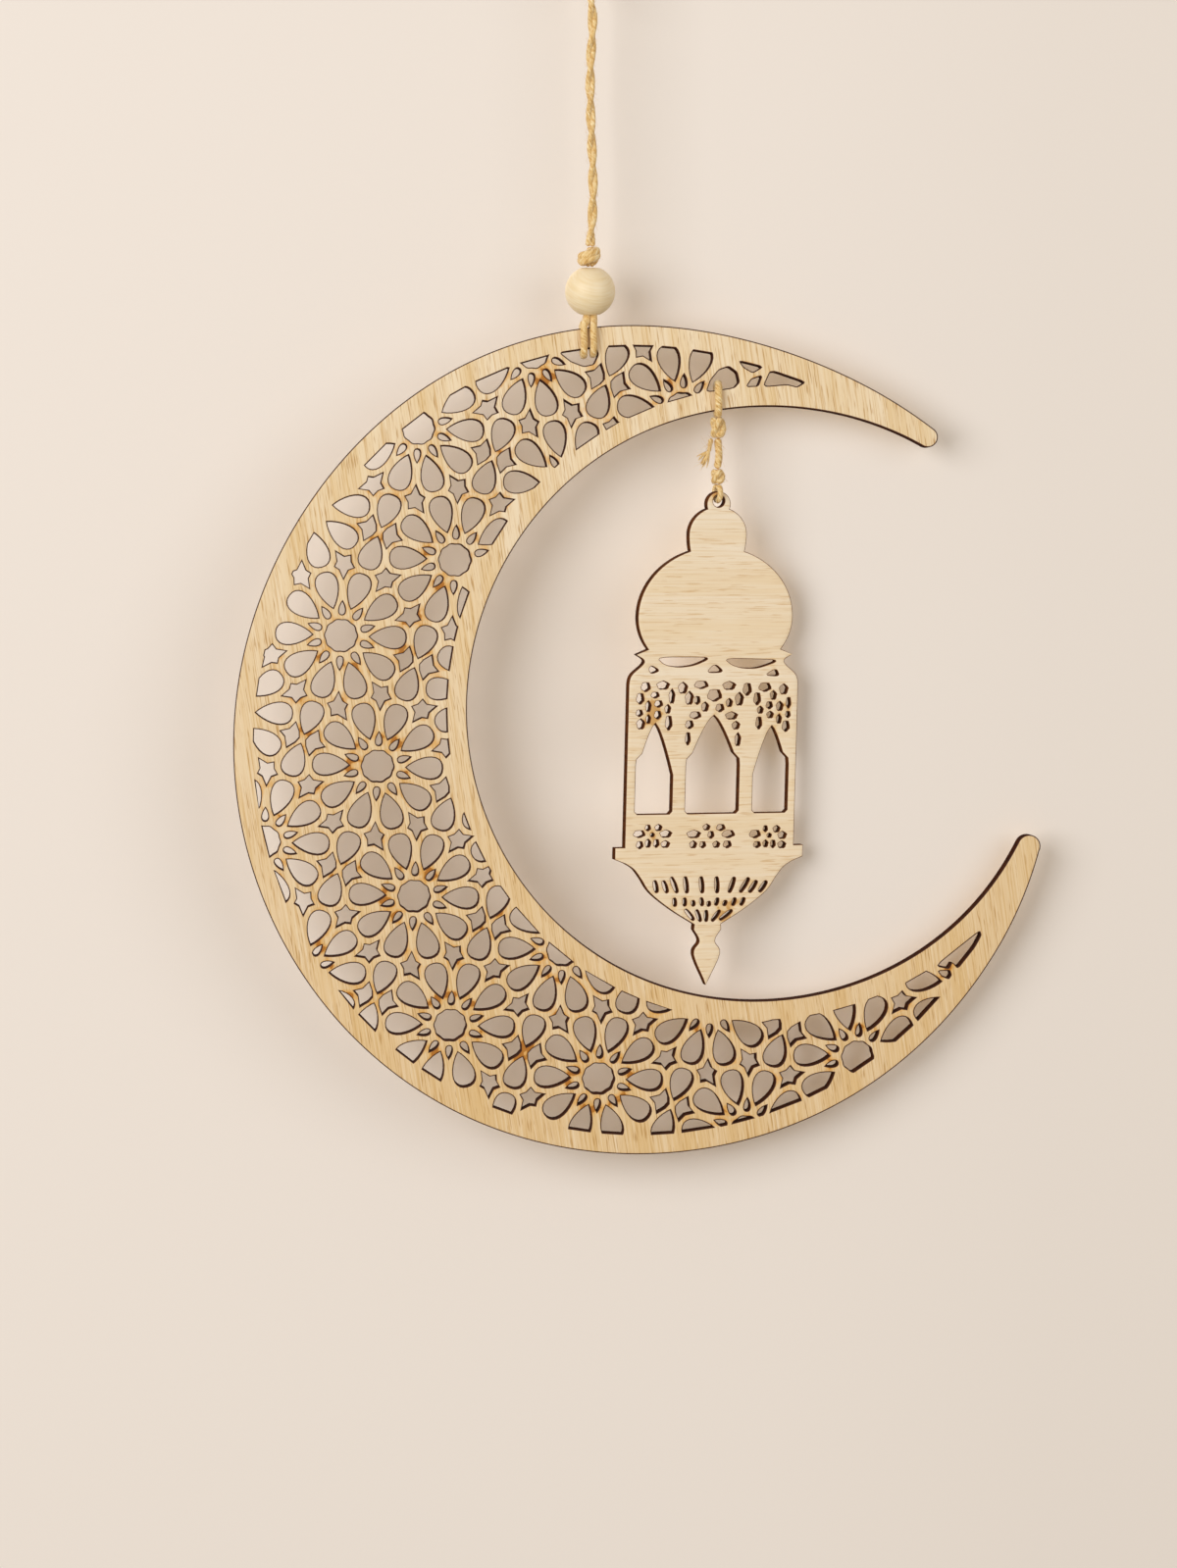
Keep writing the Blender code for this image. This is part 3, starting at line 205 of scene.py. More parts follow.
# Windows as shares of the body: middle line, half width, shoulder sides, depth of the point
WINDOWS = ((-0.676, 0.218, (-1,), 0.237), (0.012, 0.315, (-1, 1), 0.191), (0.7, 0.209, (1,), 0.259))
WINDOW_SHOULDER = 0.423
WINDOW_PLAIN_SPRING = 0.135
WINDOW_FOOT = 0.797
WINDOW_SHOULDER_STEP = 2.4 * MM
WINDOW_CORNER = 1.0 * MM

# Openings in the moulding, as shares of the body's half width and the moulding's height
EYES = (
    ((-0.682, 0.220), (-0.097, 0.228), (-0.079, 0.291), (-0.236, 0.457), (-0.415, 0.512), (-0.585, 0.441)),
    ((0.115, 0.260), (0.709, 0.307), (0.730, 0.370), (0.512, 0.551), (0.330, 0.543), (0.206, 0.449)),
)
WEDGES = (
    ((-0.745, 0.449), (-0.639, 0.598), (-0.739, 0.693), (-0.770, 0.567)),
    ((0.006, 0.409), (0.118, 0.654), (-0.094, 0.669)),
    ((0.733, 0.559), (0.776, 0.780), (0.600, 0.748)),
)

# Pebble-shaped openings, over the windows and then below them, in thousandths of the body: across and
# down, width and height
PEBBLES = np.array((
    (-800, 14, 109, 58), (-597, 5, 148, 51), (-688, 64, 97, 37), (-491, 74, 67, 88), (-861, 85, 91, 68),
    (-764, 134, 64, 68), (-645, 118, 97, 42), (-536, 151, 67, 54), (-867, 174, 79, 41), (-761, 212, 55, 54),
    (-652, 186, 82, 51), (-848, 242, 97, 63), (-521, 235, 79, 91), (-364, 22, 109, 69), (-148, 3, 164, 47),
    (182, 10, 152, 51), (397, 32, 100, 78), (-285, 85, 97, 81), (12, 68, 170, 74), (306, 93, 97, 81),
    (-191, 98, 67, 51), (-97, 139, 82, 58), (79, 146, 97, 49), (188, 115, 73, 51), (-209, 190, 133, 44),
    (218, 195, 142, 46), (-276, 247, 94, 51), (273, 255, 91, 49), (-291, 333, 58, 80), (300, 343, 67, 81),
    (606, 20, 148, 54), (830, 34, 103, 63), (518, 91, 82, 78), (709, 71, 76, 56), (891, 117, 55, 69),
    (558, 161, 70, 44), (664, 132, 76, 46), (788, 139, 82, 58), (888, 190, 55, 41), (676, 191, 79, 42),
    (545, 240, 70, 78), (782, 218, 61, 58), (867, 262, 88, 68), (-679, 924, 48, 25), (-733, 880, 64, 37),
    (-609, 880, 82, 39), (-833, 917, 139, 44), (-521, 919, 139, 46), (-824, 985, 79, 46),
    (-727, 976, 67, 51), (-630, 976, 67, 51), (-524, 983, 103, 42), (12, 929, 73, 44), (-42, 882, 82, 37),
    (127, 885, 103, 39), (-191, 924, 161, 47), (218, 926, 152, 46), (-194, 988, 82, 44), (-82, 990, 73, 39),
    (79, 990, 82, 39), (209, 990, 97, 44), (706, 939, 52, 27), (658, 897, 52, 39), (791, 900, 82, 42),
    (536, 929, 133, 49), (861, 939, 103, 46), (564, 995, 85, 39), (664, 990, 61, 44), (752, 992, 61, 49),
    (858, 998, 97, 44),
)) / 1000
PEBBLE_SIDES = 14

# Slits in thousandths of the ledge's half width and the bowl's height: top and foot, each across and
# down
TALL_SLITS = np.array((
    (-580, 329, -542, 502), (-488, 337, -433, 506), (-403, 284, -327, 510), (-256, 280, -223, 519),
    (-87, 284, -60, 523), (79, 288, 98, 527), (270, 296, 226, 527), (425, 309, 343, 527),
    (510, 354, 441, 531), (616, 362, 548, 527),
)) / 1000
SHORT_SLITS = np.array((
    (-365, 597, -346, 716), (-256, 597, -243, 716), (-169, 642, -147, 716), (-79, 601, -57, 716),
    (0, 658, 16, 724), (98, 605, 87, 716), (185, 646, 174, 724), (283, 609, 267, 724), (381, 609, 354, 724),
    (-245, 774, -144, 926), (-125, 782, -71, 951), (-22, 790, -11, 955), (125, 790, 49, 955),
    (256, 790, 131, 938),
)) / 1000
TALL_SLIT_WIDTH = 1.9 * MM
SHORT_SLIT_WIDTH = 1.6 * MM

# Lantern cord, and where it crosses the moon's inner rim, to the right of the hanging cord
THIN_CORD_DIAMETER = 2.2 * MM
HANG_TO_LANTERN = 46.2 * MM
RIM_LOOP_DROP = 2.6 * MM
UPPER_KNOT = (5.6 * MM, 7.2 * MM)
STRAND_LENGTH = 11.1 * MM
LOWER_KNOT = (5.2 * MM, 5.0 * MM)
RING_LOOP_DROP = 2.8 * MM
TAIL_LENGTH = 9.5 * MM
TAIL_SPREAD = 3.4 * MM

# Jute: strands laid into the cord, knots, and yarns that fray out of the lantern's cord end
LAID_SPREAD = 0.74 * MM
LAID_STRAND = 1.02 * MM
CORD_LAY = 23 * MM
YARN_LAY = 16 * MM
KNOT_STRAND = 1.3 * MM
WRAP_STRAND = 1.7 * MM
YARN_RIPPLE = 0.07
YARN_TURN = 0.45
FIBRE_LENGTH = 1.6 * MM
FIBRE_COUNT = 1.6
FRAYED_YARNS = ((-1.5, -0.6, 1.6), (-0.6, 0.5, 0.2), (0.7, -0.4, -0.6), (-2.0, 0.2, 3.0), (1.7, 0.4, -1.2),
                (-1.2, -0.3, 2.4), (0.1, 0.2, -0.9))

# Loose fibres of each cord: how many, how far out they start and how long they are, in mm, the seed of
# their draws, and the way that they lean, if any
LOOSE_FIBRES = {
    "top_loop": (60, 0.9, 3.2, 3), "top_knot": (40, 1.3, 2.6, 5), "hanging_cord": (300, 1.479, 2.0, 7),
    "bead_knot": (70, 1.7, 2.2, 9), "rim_loop_left": (26, 1.1, 2.4, 10),
    "rim_loop_right": (26, 1.1, 2.4, 12), "lantern_rim_loop": (26, 1.1, 2.6, 21),
    "lantern_upper_knot": (50, 1.1, 2.8, 23),
    "lantern_strand": (44, 1.1, 3.0, 25), "lantern_tail": (90, 0.5, 4.0, 27, (-0.5, 0, -0.1)),
    "lantern_lower_knot": (40, 1.0, 2.6, 29), "lantern_ring_loop": (10, 0.9, 1.8, 31),
}

# Materials


def linear(hex_colour):
    """sRGB hex colour as linear red, green, blue and 1."""
    parts = [int(hex_colour[at:at + 2], 16) / 255 for at in (1, 3, 5)]
    return (*[p / 12.92 if p <= 0.04045 else ((p + 0.055) / 1.055) ** 2.4 for p in parts], 1.0)


def node(tree, kind, settings=None, links=None, stops=()):
    """Adds a shader node, sets its properties, input sockets and ramp stops (a hex colour or a grey level
    each), and links sockets to it."""
    made = tree.nodes.new(kind)
    for name, value in (settings or {}).items():
        if isinstance(name, str) and hasattr(made, name):
            setattr(made, name, value)
        else:
            made.inputs[name].default_value = value
    for number, (place, colour) in enumerate(stops):
        if number > 1:
            made.color_ramp.elements.new(place)
        made.color_ramp.elements[number].position = place
        level = linear(colour) if isinstance(colour, str) else (colour, colour, colour, 1.0)
        made.color_ramp.elements[number].color = level
    for name, source in (links or {}).items():
        tree.links.new(source, made.inputs[name])
    return made


def start_material(name):
    """A new material with its node tree and its shader."""
    made = bpy.data.materials.new(name)
    made.use_nodes = True
    return made, made.node_tree, made.node_tree.nodes["Principled BSDF"]


def streaks(tree, turn, scale, detail=4.0, rough=0.6):
    """Noise turned, then drawn out: scale is how many features fit in a metre each way."""
    place = node(tree, "ShaderNodeTexCoord")
    size = [1 / each for each in scale]
    spread = node(tree, "ShaderNodeMapping", {"vector_type": "TEXTURE", "Rotation": turn, "Scale": size},
                  {"Vector": place.outputs["Object"]})
    return node(tree, "ShaderNodeTexNoise", {"Scale": 1.0, "Detail": detail, "Roughness": rough},
                {"Vector": spread.outputs[0]}).outputs["Fac"]


def layered(tree, colour, layers):
    """Lays hex colours over a colour, one after the other, each as far as its mask says, drawn out
    between its stops."""
    for mask, stops, over in layers:
        if stops:
            mask = node(tree, "ShaderNodeValToRGB", links={0: mask}, stops=stops).outputs[0]
        settings = {"data_type": "RGBA", 7: linear(over)}
        colour = node(tree, "ShaderNodeMix", settings, {0: mask, 6: colour}).outputs[2]
    return colour


def surfaced(tree, shader, colour, relief, strength, depth, numbers):
    """Links a colour and a relief of some depth to the shader, and sets its uniform numbers."""
    if colour:
        tree.links.new(colour, shader.inputs["Base Color"])
    bump = node(tree, "ShaderNodeBump", {"Strength": strength, "Distance": depth}, {"Height": relief})
    tree.links.new(bump.outputs[0], shader.inputs["Normal"])
    for name, value in numbers.items():
        shader.inputs[name].default_value = value


def plywood_face(name, turn, pale, warm, golden, fibre_dark, pore, amber, burnt, singed, char):
    """Rotary-cut face veneer, sanded and unvarnished, more golden towards the sheet's foot, amber where
    the laser's cuts lie close together, and singed to char in the last half millimetre before a cut."""
    made, tree, shader = start_material(name)
    # Growth bands 9 mm apart. Fibres are drawn 0.7 mm wide and pores 0.5 mm, because real ones, a few
    # hundredths wide, are too fine to show. The scorch is uneven in patches of 10 mm.
    bands = streaks(tree, turn, (110, 110, 6), 3.0, 0.55)
    fibres = streaks(tree, turn, (1400, 1400, 30), 5.0, 0.65)
    fleck = streaks(tree, turn, (1900, 1900, 120), 2.0, 0.4)
    patches = streaks(tree, (0, 0, 0), (95, 95, 95), 3.0, 0.6)
    place = node(tree, "ShaderNodeTexCoord").outputs["Object"]
    height = node(tree, "ShaderNodeSeparateXYZ", links={0: place}).outputs[2]
    pores = node(tree, "ShaderNodeValToRGB", links={0: fleck}, stops=[(0.6, 0.0), (0.7, 0.8)]).outputs[0]

    def burned(attribute, noise, low, high, least, most):
        # A mesh's own heat, made uneven by noise drawn out from low and high to least and most
        reach = {"From Min": low, "From Max": high, "To Min": least, "To Max": most}
        uneven = node(tree, "ShaderNodeMapRange", reach, {"Value": noise}).outputs[0]
        heat = node(tree, "ShaderNodeAttribute", {"attribute_name": attribute}).outputs["Fac"]
        return node(tree, "ShaderNodeMath", {"operation": "MULTIPLY"}, {0: heat, 1: uneven}).outputs[0]

    scorch = burned("scorch", patches, 0.32, 0.68, 0.5, 1.3)
    singe = burned("singe", fleck, 0.3, 0.7, 0.8, 1.2)
    foot = node(tree, "ShaderNodeMapRange", {"From Min": -0.2, "From Max": -0.43, "To Max": 0.55},
                {"Value": height}).outputs[0]
    rough = node(tree, "ShaderNodeMapRange", {"To Min": 0.5, "To Max": 0.72}, {"Value": fibres}).outputs[0]
    veneer = node(tree, "ShaderNodeValToRGB", links={0: bands}, stops=[(0.32, pale), (0.68, warm)])
    colour = layered(tree, veneer.outputs[0], [
        (foot, None, golden),
        (fibres, [(0.36, 0.75), (0.5, 0.0)], fibre_dark),
        (fibres, [(0.54, 0.0), (0.68, 0.6)], pale),
        (pores, None, pore),
        (scorch, [(0.64, 0.0), (1.0, 0.85)], amber),
        (scorch, [(0.94, 0.0), (1.0, 0.8)], burnt),
        (singe, [(0.0, 0.0), (0.26, 0.95)], singed),
        (singe, [(0.1, 0.0), (0.3, 1.0)], char),
    ])
    relief = node(tree, "ShaderNodeMath", {"operation": "SUBTRACT"}, {0: fibres, 1: pores}).outputs[0]
    tree.links.new(rough, shader.inputs["Roughness"])
    surfaced(tree, shader, colour, relief, 0.35, 0.06 * MM, {"Specular IOR Level": 0.3})
    return made


def charred_edge(name, yaw, core, char, glue):
    """Wall of a laser cut through three plies: brown charred wood with the two darker glue lines."""
    made, tree, shader = start_material(name)
    # Plies of 1 mm. Soot runs in streaks 2.4 mm apart, and the beam's ripples are 0.2 mm apart.
    place = node(tree, "ShaderNodeTexCoord").outputs["Object"]
    faced = node(tree, "ShaderNodeMapping", {"Rotation": (0, 0, yaw)}, {"Vector": place})
    depth = node(tree, "ShaderNodeSeparateXYZ", links={0: faced.outputs[0]}).outputs[1]
    plies = {"From Min": -1.6 * MM, "From Max": 1.6 * MM}
    level = node(tree, "ShaderNodeMapRange", plies, {"Value": depth}).outputs[0]
    lines = node(tree, "ShaderNodeValToRGB", links={0: level}, stops=[
        (0.0, 0.35), (0.12, 0.1), (0.3, 0.15), (0.345, 1.0), (0.39, 0.3), (0.61, 0.3), (0.655, 1.0),
        (0.7, 0.15), (1.0, 0.5)]).outputs[0]
    soot = node(tree, "ShaderNodeValToRGB", links={0: streaks(tree, (0, 0, 0), (420, 90, 420), 4.0, 0.7)},
                stops=[(0.35, core), (0.62, char)]).outputs[0]
    kerf = streaks(tree, (0, 0, yaw), (5200, 160, 5200), 2.0, 0.5)
    surfaced(tree, shader, layered(tree, soot, [(lines, None, glue)]), kerf, 0.4, 0.08 * MM,
             {"Roughness": 0.9, "Specular IOR Level": 0.05})
    return made


def turned_bead():
    """Pale close-grained bead, turned, sanded and waxed to a satin shine."""
    made, tree, shader = start_material("waxed_bead_wood")
    # Rings 0.7 mm apart, cut at a slant, and clouds of colour 8 mm across
    rings = streaks(tree, (0.5, 0.2, 0), (90, 160, 1500), 4.0, 0.55)
    clouds = streaks(tree, (0, 0, 0), (120, 120, 120), 2.0, 0.5)
    wood = node(tree, "ShaderNodeValToRGB", links={0: rings},
                stops=[(0.3, "#EDD6A6"), (0.52, "#F3E0B9"), (0.75, "#F6E7C8")]).outputs[0]
    colour = layered(tree, wood, [(clouds, [(0.45, 0.0), (0.8, 0.3)], "#E9CB90")])
    surfaced(tree, shader, colour, rings, 0.15, 0.04 * MM,
             {"Roughness": 0.48, "Coat Weight": 0.12, "Coat Roughness": 0.4})
    return made


def spun_jute():
    """Undyed jute: glossy fibres laid aslant, brown between, straw along, with near-white streaks of
    painted highlight.
    """
    made, tree, shader = start_material("spun_jute")
    # The attribute counts fibres of FIBRE_LENGTH, drawn 0.6 mm wide: real ones, a tenth of that, are too
    # fine to show. Clumps of darker fibres are 4 mm long.
    fibre = node(tree, "ShaderNodeAttribute", {"attribute_name": "fibre"}).outputs["Vector"]
    fibres = node(tree, "ShaderNodeTexNoise", {"Scale": 1.0, "Detail": 4.0, "Roughness": 0.65},
                  {"Vector": fibre}).outputs["Fac"]
    clumps = streaks(tree, (0, 0, 0), (240, 240, 240), 3.0, 0.6)
    # Brown between the fibres to straw along them; the near-white last stop is a painted highlight
    fibre_tones_and_highlight = node(tree, "ShaderNodeValToRGB", links={0: fibres}, stops=[
        (0.28, "#A8742F"), (0.44, "#DDB46B"), (0.57, "#F0D49A"), (0.72, "#FFF1CC")]).outputs[0]
    colour = layered(tree, fibre_tones_and_highlight, [(clumps, [(0.52, 0.0), (0.78, 0.4)], "#C79547")])
    surfaced(tree, shader, colour, fibres, 0.7, 0.18 * MM,
             {"Roughness": 0.72, "Sheen Weight": 0.25, "Sheen Roughness": 0.5})
    return made


def emulsion_wall():
    """Matt emulsion paint on plaster. It is seen only from the front, so that it never hides the
    hanging's back, and lets through the lamp that lights that back."""
    made, tree, shader = start_material("emulsion_painted_wall")
    # The roller's stipple, 2.4 mm from bump to bump
    stipple = streaks(tree, (0, 0, 0), (420, 420, 420), 3.0, 0.55)
    surfaced(tree, shader, None, stipple, 0.12, 0.2 * MM,
             {"Base Color": linear(WALL_COLOUR), "Roughness": 0.9, "Specular IOR Level": 0.1})
    clear = node(tree, "ShaderNodeBsdfTransparent")
    behind = node(tree, "ShaderNodeNewGeometry")
    ray = node(tree, "ShaderNodeLightPath")
    passed = node(tree, "ShaderNodeMath", {"operation": "MAXIMUM"},
                  {0: behind.outputs["Backfacing"], 1: ray.outputs["Is Shadow Ray"]})
    seen = node(tree, "ShaderNodeMixShader",
                links={0: passed.outputs[0], 1: shader.outputs[0], 2: clear.outputs[0]})
    tree.links.new(seen.outputs[0], tree.nodes["Material Output"].inputs["Surface"])
    return made


# Meshes


def add_piece(name, points, faces, looks, body, replaced):
    """Puts points and faces into a mesh, rides it on its body and hides the solid that it replaces."""
    mesh = bpy.data.meshes.new(name)
    mesh.from_pydata(np.asarray(points).tolist(), [], [face for group in faces for face in group.tolist()])
    for look in looks:
        mesh.materials.append(look)
    made = bpy.data.objects.new(name, mesh)
    bpy.context.collection.objects.link(made)
    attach(made, body)
    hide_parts(*replaced)
    return made


def smoothed(made, angle):
    """Shades a piece smooth, but for edges sharper than an angle in degrees."""
    made.data.shade_smooth()
    made.data.set_sharp_from_angle(angle=angle * DEG)


def shifted_in(points, depth, wood, low):
    """A closed line moved to its left, into the wood, each corner to where the moved sides meet. It moves
    by depth, or by less where the blurred map of the wood says that a strap is narrow, and by three
    quarters at a time less where a side would turn round."""
    side = np.roll(points, -1, axis=0) - points
    ahead = side / np.linalg.norm(side, axis=1)[:, None]
    left = np.c_[-ahead[:, 1], ahead[:, 0]]
    both = left + np.roll(left, 1, axis=0)
    inwards = both * np.clip(2 / np.maximum((both * both).sum(1), 0.3), 0, 2.5)[:, None]
    facing = both / np.linalg.norm(both, axis=1)[:, None]
    room = sampled(wood, points + ROOM_AHEAD * facing, low)
    reach = depth * np.clip((room - LEAST_WOOD) / (ROOMY_WOOD - LEAST_WOOD), 0.3, 1)[:, None]
    for _ in range(16):
        moved = points + reach * inwards
        new_side = np.roll(moved, -1, axis=0) - moved
        turned_round = (new_side * side).sum(1) < 0.15 * (side * side).sum(1)
        reach[turned_round | np.roll(turned_round, 1)] *= 0.75
    return points + reach * inwards


def inside_map(loops, low, shape):
    """1 in the wood and 0 in the air on a grid of cells: a cell is inside after an odd number of sides."""
    x0, y0, x1, y1 = np.vstack([np.c_[points, np.roll(points, -1, axis=0)] for points in loops]).T
    across = low[0] + (np.arange(shape[1]) + 0.5) * CELL
    wood = np.zeros(shape)
    for row in range(shape[0]):
        y = low[1] + (row + 0.5) * CELL
        hit = (y0 > y) != (y1 > y)
        crossings = x0[hit] + (y - y0[hit]) / (y1[hit] - y0[hit]) * (x1[hit] - x0[hit])
        wood[row] = np.searchsorted(np.sort(crossings), across) % 2
    return wood


def blurred(picture, spread):
    """Blur with a bell curve, by the product of the two spectra; spread is in cells."""
    rows = np.fft.fftfreq(picture.shape[0])[:, None]
    columns = np.fft.rfftfreq(picture.shape[1])[None, :]
    window = np.exp(-2 * (math.pi * spread) ** 2 * (rows ** 2 + columns ** 2))
    return np.fft.irfft2(np.fft.rfft2(picture) * window, s=picture.shape)


def sampled(picture, points, low):
    """Values of a grid of cells at points, taken in proportion from the four nearest cells."""
    place = (points - low) / CELL - 0.5
    column = np.clip(place[:, 0], 0, picture.shape[1] - 1.001)
    row = np.clip(place[:, 1], 0, picture.shape[0] - 1.001)
    c, r = column.astype(int), row.astype(int)
    u, v = column - c, row - r
    above = picture[r, c] * (1 - u) + picture[r, c + 1] * u
    below = picture[r + 1, c] * (1 - u) + picture[r + 1, c + 1] * u
    return above * (1 - v) + below * v


def holds(ring, points):
    """Whether each point lies inside a closed line, by counting the sides passed on the way out."""
    start, stop = ring, np.roll(ring, -1, axis=0)
    away = points[:, None] - start
    side = stop - start
    spans = (start[:, 1] > points[:, None, 1]) != (stop[:, 1] > points[:, None, 1])
    cross = side[:, 0] * away[..., 1] - side[:, 1] * away[..., 0]
    return (spans & ((cross > 0) == (side[:, 1] > 0))).sum(axis=1) % 2 == 1


def panel_faces(loops, lattice):
    """Triangles between the loops and over the lattice; those in an opening or past the outline go."""
    points = np.vstack([*loops, lattice])
    starts = np.cumsum([0] + [len(loop) for loop in loops])
    owner = np.repeat([*range(len(loops)), -1], [*np.diff(starts), len(lattice)])
    sides = [np.c_[np.arange(len(loop)), np.roll(np.arange(len(loop)), -1)] + start
             for loop, start in zip(loops, starts)]
    made = delaunay_2d_cdt((points / MM).tolist(), np.vstack(sides).tolist(), [], 0, 1e-6)
    source = np.array([came_from[0] if came_from else -1 for came_from in made[3]])
    triangles = source[np.array(made[2])]
    triangles = triangles[(triangles >= 0).all(axis=1)]
    own = owner[triangles[:, 0]]
    one_loop = (owner[triangles] == own[:, None]).all(axis=1)
    middle = points[triangles].mean(axis=1)
    keep = np.ones(len(triangles), dtype=bool)
    for number, loop in enumerate(loops):
        mine = np.flatnonzero(one_loop & (own == number))
        if len(mine):
            keep[mine] = holds(loop, middle[mine]) == (number == 0)
    return points, triangles[keep]


def lattice_points(clear, low, shape, openings):
    """Points in staggered rows all over the clear wood, and in none of the openings."""
    rows = np.arange(low[1], low[1] + shape[0] * CELL, LATTICE_ROW)
    columns = np.arange(low[0], low[0] + shape[1] * CELL, LATTICE)
    x, y = np.meshgrid(columns, rows)
    x = x + (np.arange(len(rows)) % 2)[:, None] * LATTICE / 2
    points = np.c_[x.ravel(), y.ravel()]
    points = points[sampled(clear, points, low) > CLEAR_OF_CUTS]
    in_opening = np.zeros(len(points), dtype=bool)
    for loop in openings:
        boxed = ((points > loop.min(axis=0)) & (points < loop.max(axis=0))).all(axis=1)
        in_opening[boxed] |= holds(loop, points[boxed])
    return points[~in_opening]


def add_panel(name, outline, openings, singed, lean, place, looks, body):
    """Sheet of plywood: faces between the cut lines, a charred arris round each cut, and the cut walls.
    On the back each point is drawn towards lean's point by lean's share of its distance."""
    loops = [outline if signed_area(outline) > 0 else outline[::-1]]
    loops += [loop[::-1] if signed_area(loop) > 0 else loop for loop in openings]
    low = outline.min(axis=0) - MAP_MARGIN
    shape = tuple(np.ceil((outline.max(axis=0) + MAP_MARGIN - low)[::-1] / CELL).astype(int))
    wood = inside_map(loops, low, shape)
    cut = np.zeros(shape)
    cut[1:, :] += abs(np.diff(wood, axis=0))
    cut[:, 1:] += abs(np.diff(wood, axis=1))
    heat = blurred(cut, NEAR_HEAT / CELL) + FAR_HEAT_WEIGHT * blurred(cut, FAR_HEAT / CELL)
    heat /= np.percentile(heat[wood > 0], HOTTEST)
    clear = blurred(wood, CLEAR_BLUR / CELL)
    inner = [shifted_in(loop, singed, clear, low) for loop in loops]
    flat, triangles = panel_faces(inner, lattice_points(clear, low, shape, inner[1:]))
    turn = signed_turn(flat, triangles)
    triangles[turn < 0] = triangles[turn < 0][:, ::-1]
    edge = np.vstack(loops)
    half = PLY_THICKNESS / 2
    share, middle = lean
    stack = []
    for part, depth in ((flat, half), (edge, half - ARRIS_DEPTH)):
        behind = part + share * (np.array(middle) - part)
        for side, at in ((part, -depth), (behind, depth)):
            stack.append(np.c_[side[:, 0], np.full(len(side), at), side[:, 1]])
    points = np.vstack(stack) @ np.array(place.to_3x3()).T + np.array(place.translation)
    starts = np.cumsum([0] + [len(loop) for loop in loops])
    count, border = len(flat), len(edge)
    here = np.arange(border)
    after = np.concatenate([np.roll(np.arange(a, b), -1) for a, b in zip(starts, starts[1:])])
    rings = (0, 2 * count, 2 * count + border, count)
    strips = [np.c_[one + after, one + here, two + here, two + after]
              for one, two in zip(rings, rings[1:])]
    made = add_piece(name, points, [triangles, triangles[:, ::-1] + count, *strips], looks, body,
                     [name])
    parts = [2 * len(triangles) + border, border, border]
    made.data.polygons.foreach_set("material_index", np.repeat([0, 1, 0], parts).astype(np.int32))
    level, rim = sampled(heat, flat, low), sampled(heat, edge, low)
    scorch = np.concatenate([level, level * BACK_HEAT, rim, rim * BACK_HEAT])
    singe = np.repeat([0, 1], [2 * count, 2 * border])
    for burn, value in (("scorch", scorch), ("singe", singe)):
        layer = made.data.attributes.new(burn, "FLOAT", "POINT")
        layer.data.foreach_set("value", value.astype(np.float32))
    smoothed(made, 35)


def signed_turn(points, triangles):
    """Positive where a triangle's corners go round anticlockwise."""
    a, b, c = (points[triangles[:, side]] for side in range(3))
    return (b[:, 0] - a[:, 0]) * (c[:, 1] - a[:, 1]) - (b[:, 1] - a[:, 1]) * (c[:, 0] - a[:, 0])


def rope_frame(track, reference):
    """Unit vectors along a track, square to it and to the reference, and square to those two."""
    ahead = np.gradient(track, axis=0)
    ahead /= np.linalg.norm(ahead, axis=1)[:, None]
    side = np.cross(ahead, np.broadcast_to(reference, track.shape))
    side /= np.linalg.norm(side, axis=1)[:, None]
    return ahead, side, np.cross(ahead, side)


def rope(track, reference, strands, spread, radius, lay, sides=9, taper=0.0):
    """Strands laid round a track: each one's middle is at spread, turning once in each lay, and its
    skin is a ring of radius whose yarns ripple it; the rings narrow and close at both ends. Gives the
    points, their places along and round the fibres, the sides' faces and the end faces."""
    ahead, side, up = rope_frame(track, reference)
    run = np.r_[0, np.cumsum(np.linalg.norm(np.diff(track, axis=0), axis=1))]
    around = np.arange(sides) / sides * 2 * math.pi
    yarns = 2 * math.pi * run[:, None] / (lay * YARN_TURN)
    share = run / run[-1]
    fullness = np.sqrt(np.clip(np.minimum(run, run[-1] - run) / (0.7 * radius) + 0.05, 0, 1))
    fullness = fullness * (1 - taper * share)
    points, fibre, quads, ends = [], [], [], []
    for number in range(strands):
        turn = 2 * math.pi * (run / lay + number / strands)
        middle = track + spread * (np.cos(turn)[:, None] * side + np.sin(turn)[:, None] * up)
        ripple = 1 + YARN_RIPPLE * np.cos(3 * around + yarns)
        ring = radius * fullness[:, None] * ripple
        skin = middle[:, None] + (ring * np.cos(around))[..., None] * side[:, None]
        skin = skin + (ring * np.sin(around))[..., None] * up[:, None]
        corner = number * len(track) * sides + np.arange(len(track) * sides).reshape(-1, sides)
        after = np.roll(corner, -1, axis=1)
        quads.append(np.stack([corner[:-1], after[:-1], after[1:], corner[1:]], axis=-1).reshape(-1, 4))
        ends.append(np.stack([corner[0, ::-1], corner[-1]]))
        points.append(skin.reshape(-1, 3))
        aslant = around + yarns
        along = np.broadcast_to(run[:, None] / FIBRE_LENGTH + 7 * number, ring.shape)
        fibre.append(np.stack([along, FIBRE_COUNT * np.cos(aslant), FIBRE_COUNT * np.sin(aslant)],
                              axis=-1).reshape(-1, 3))
    return np.vstack(points), np.vstack(fibre), [np.vstack(quads), np.vstack(ends)]


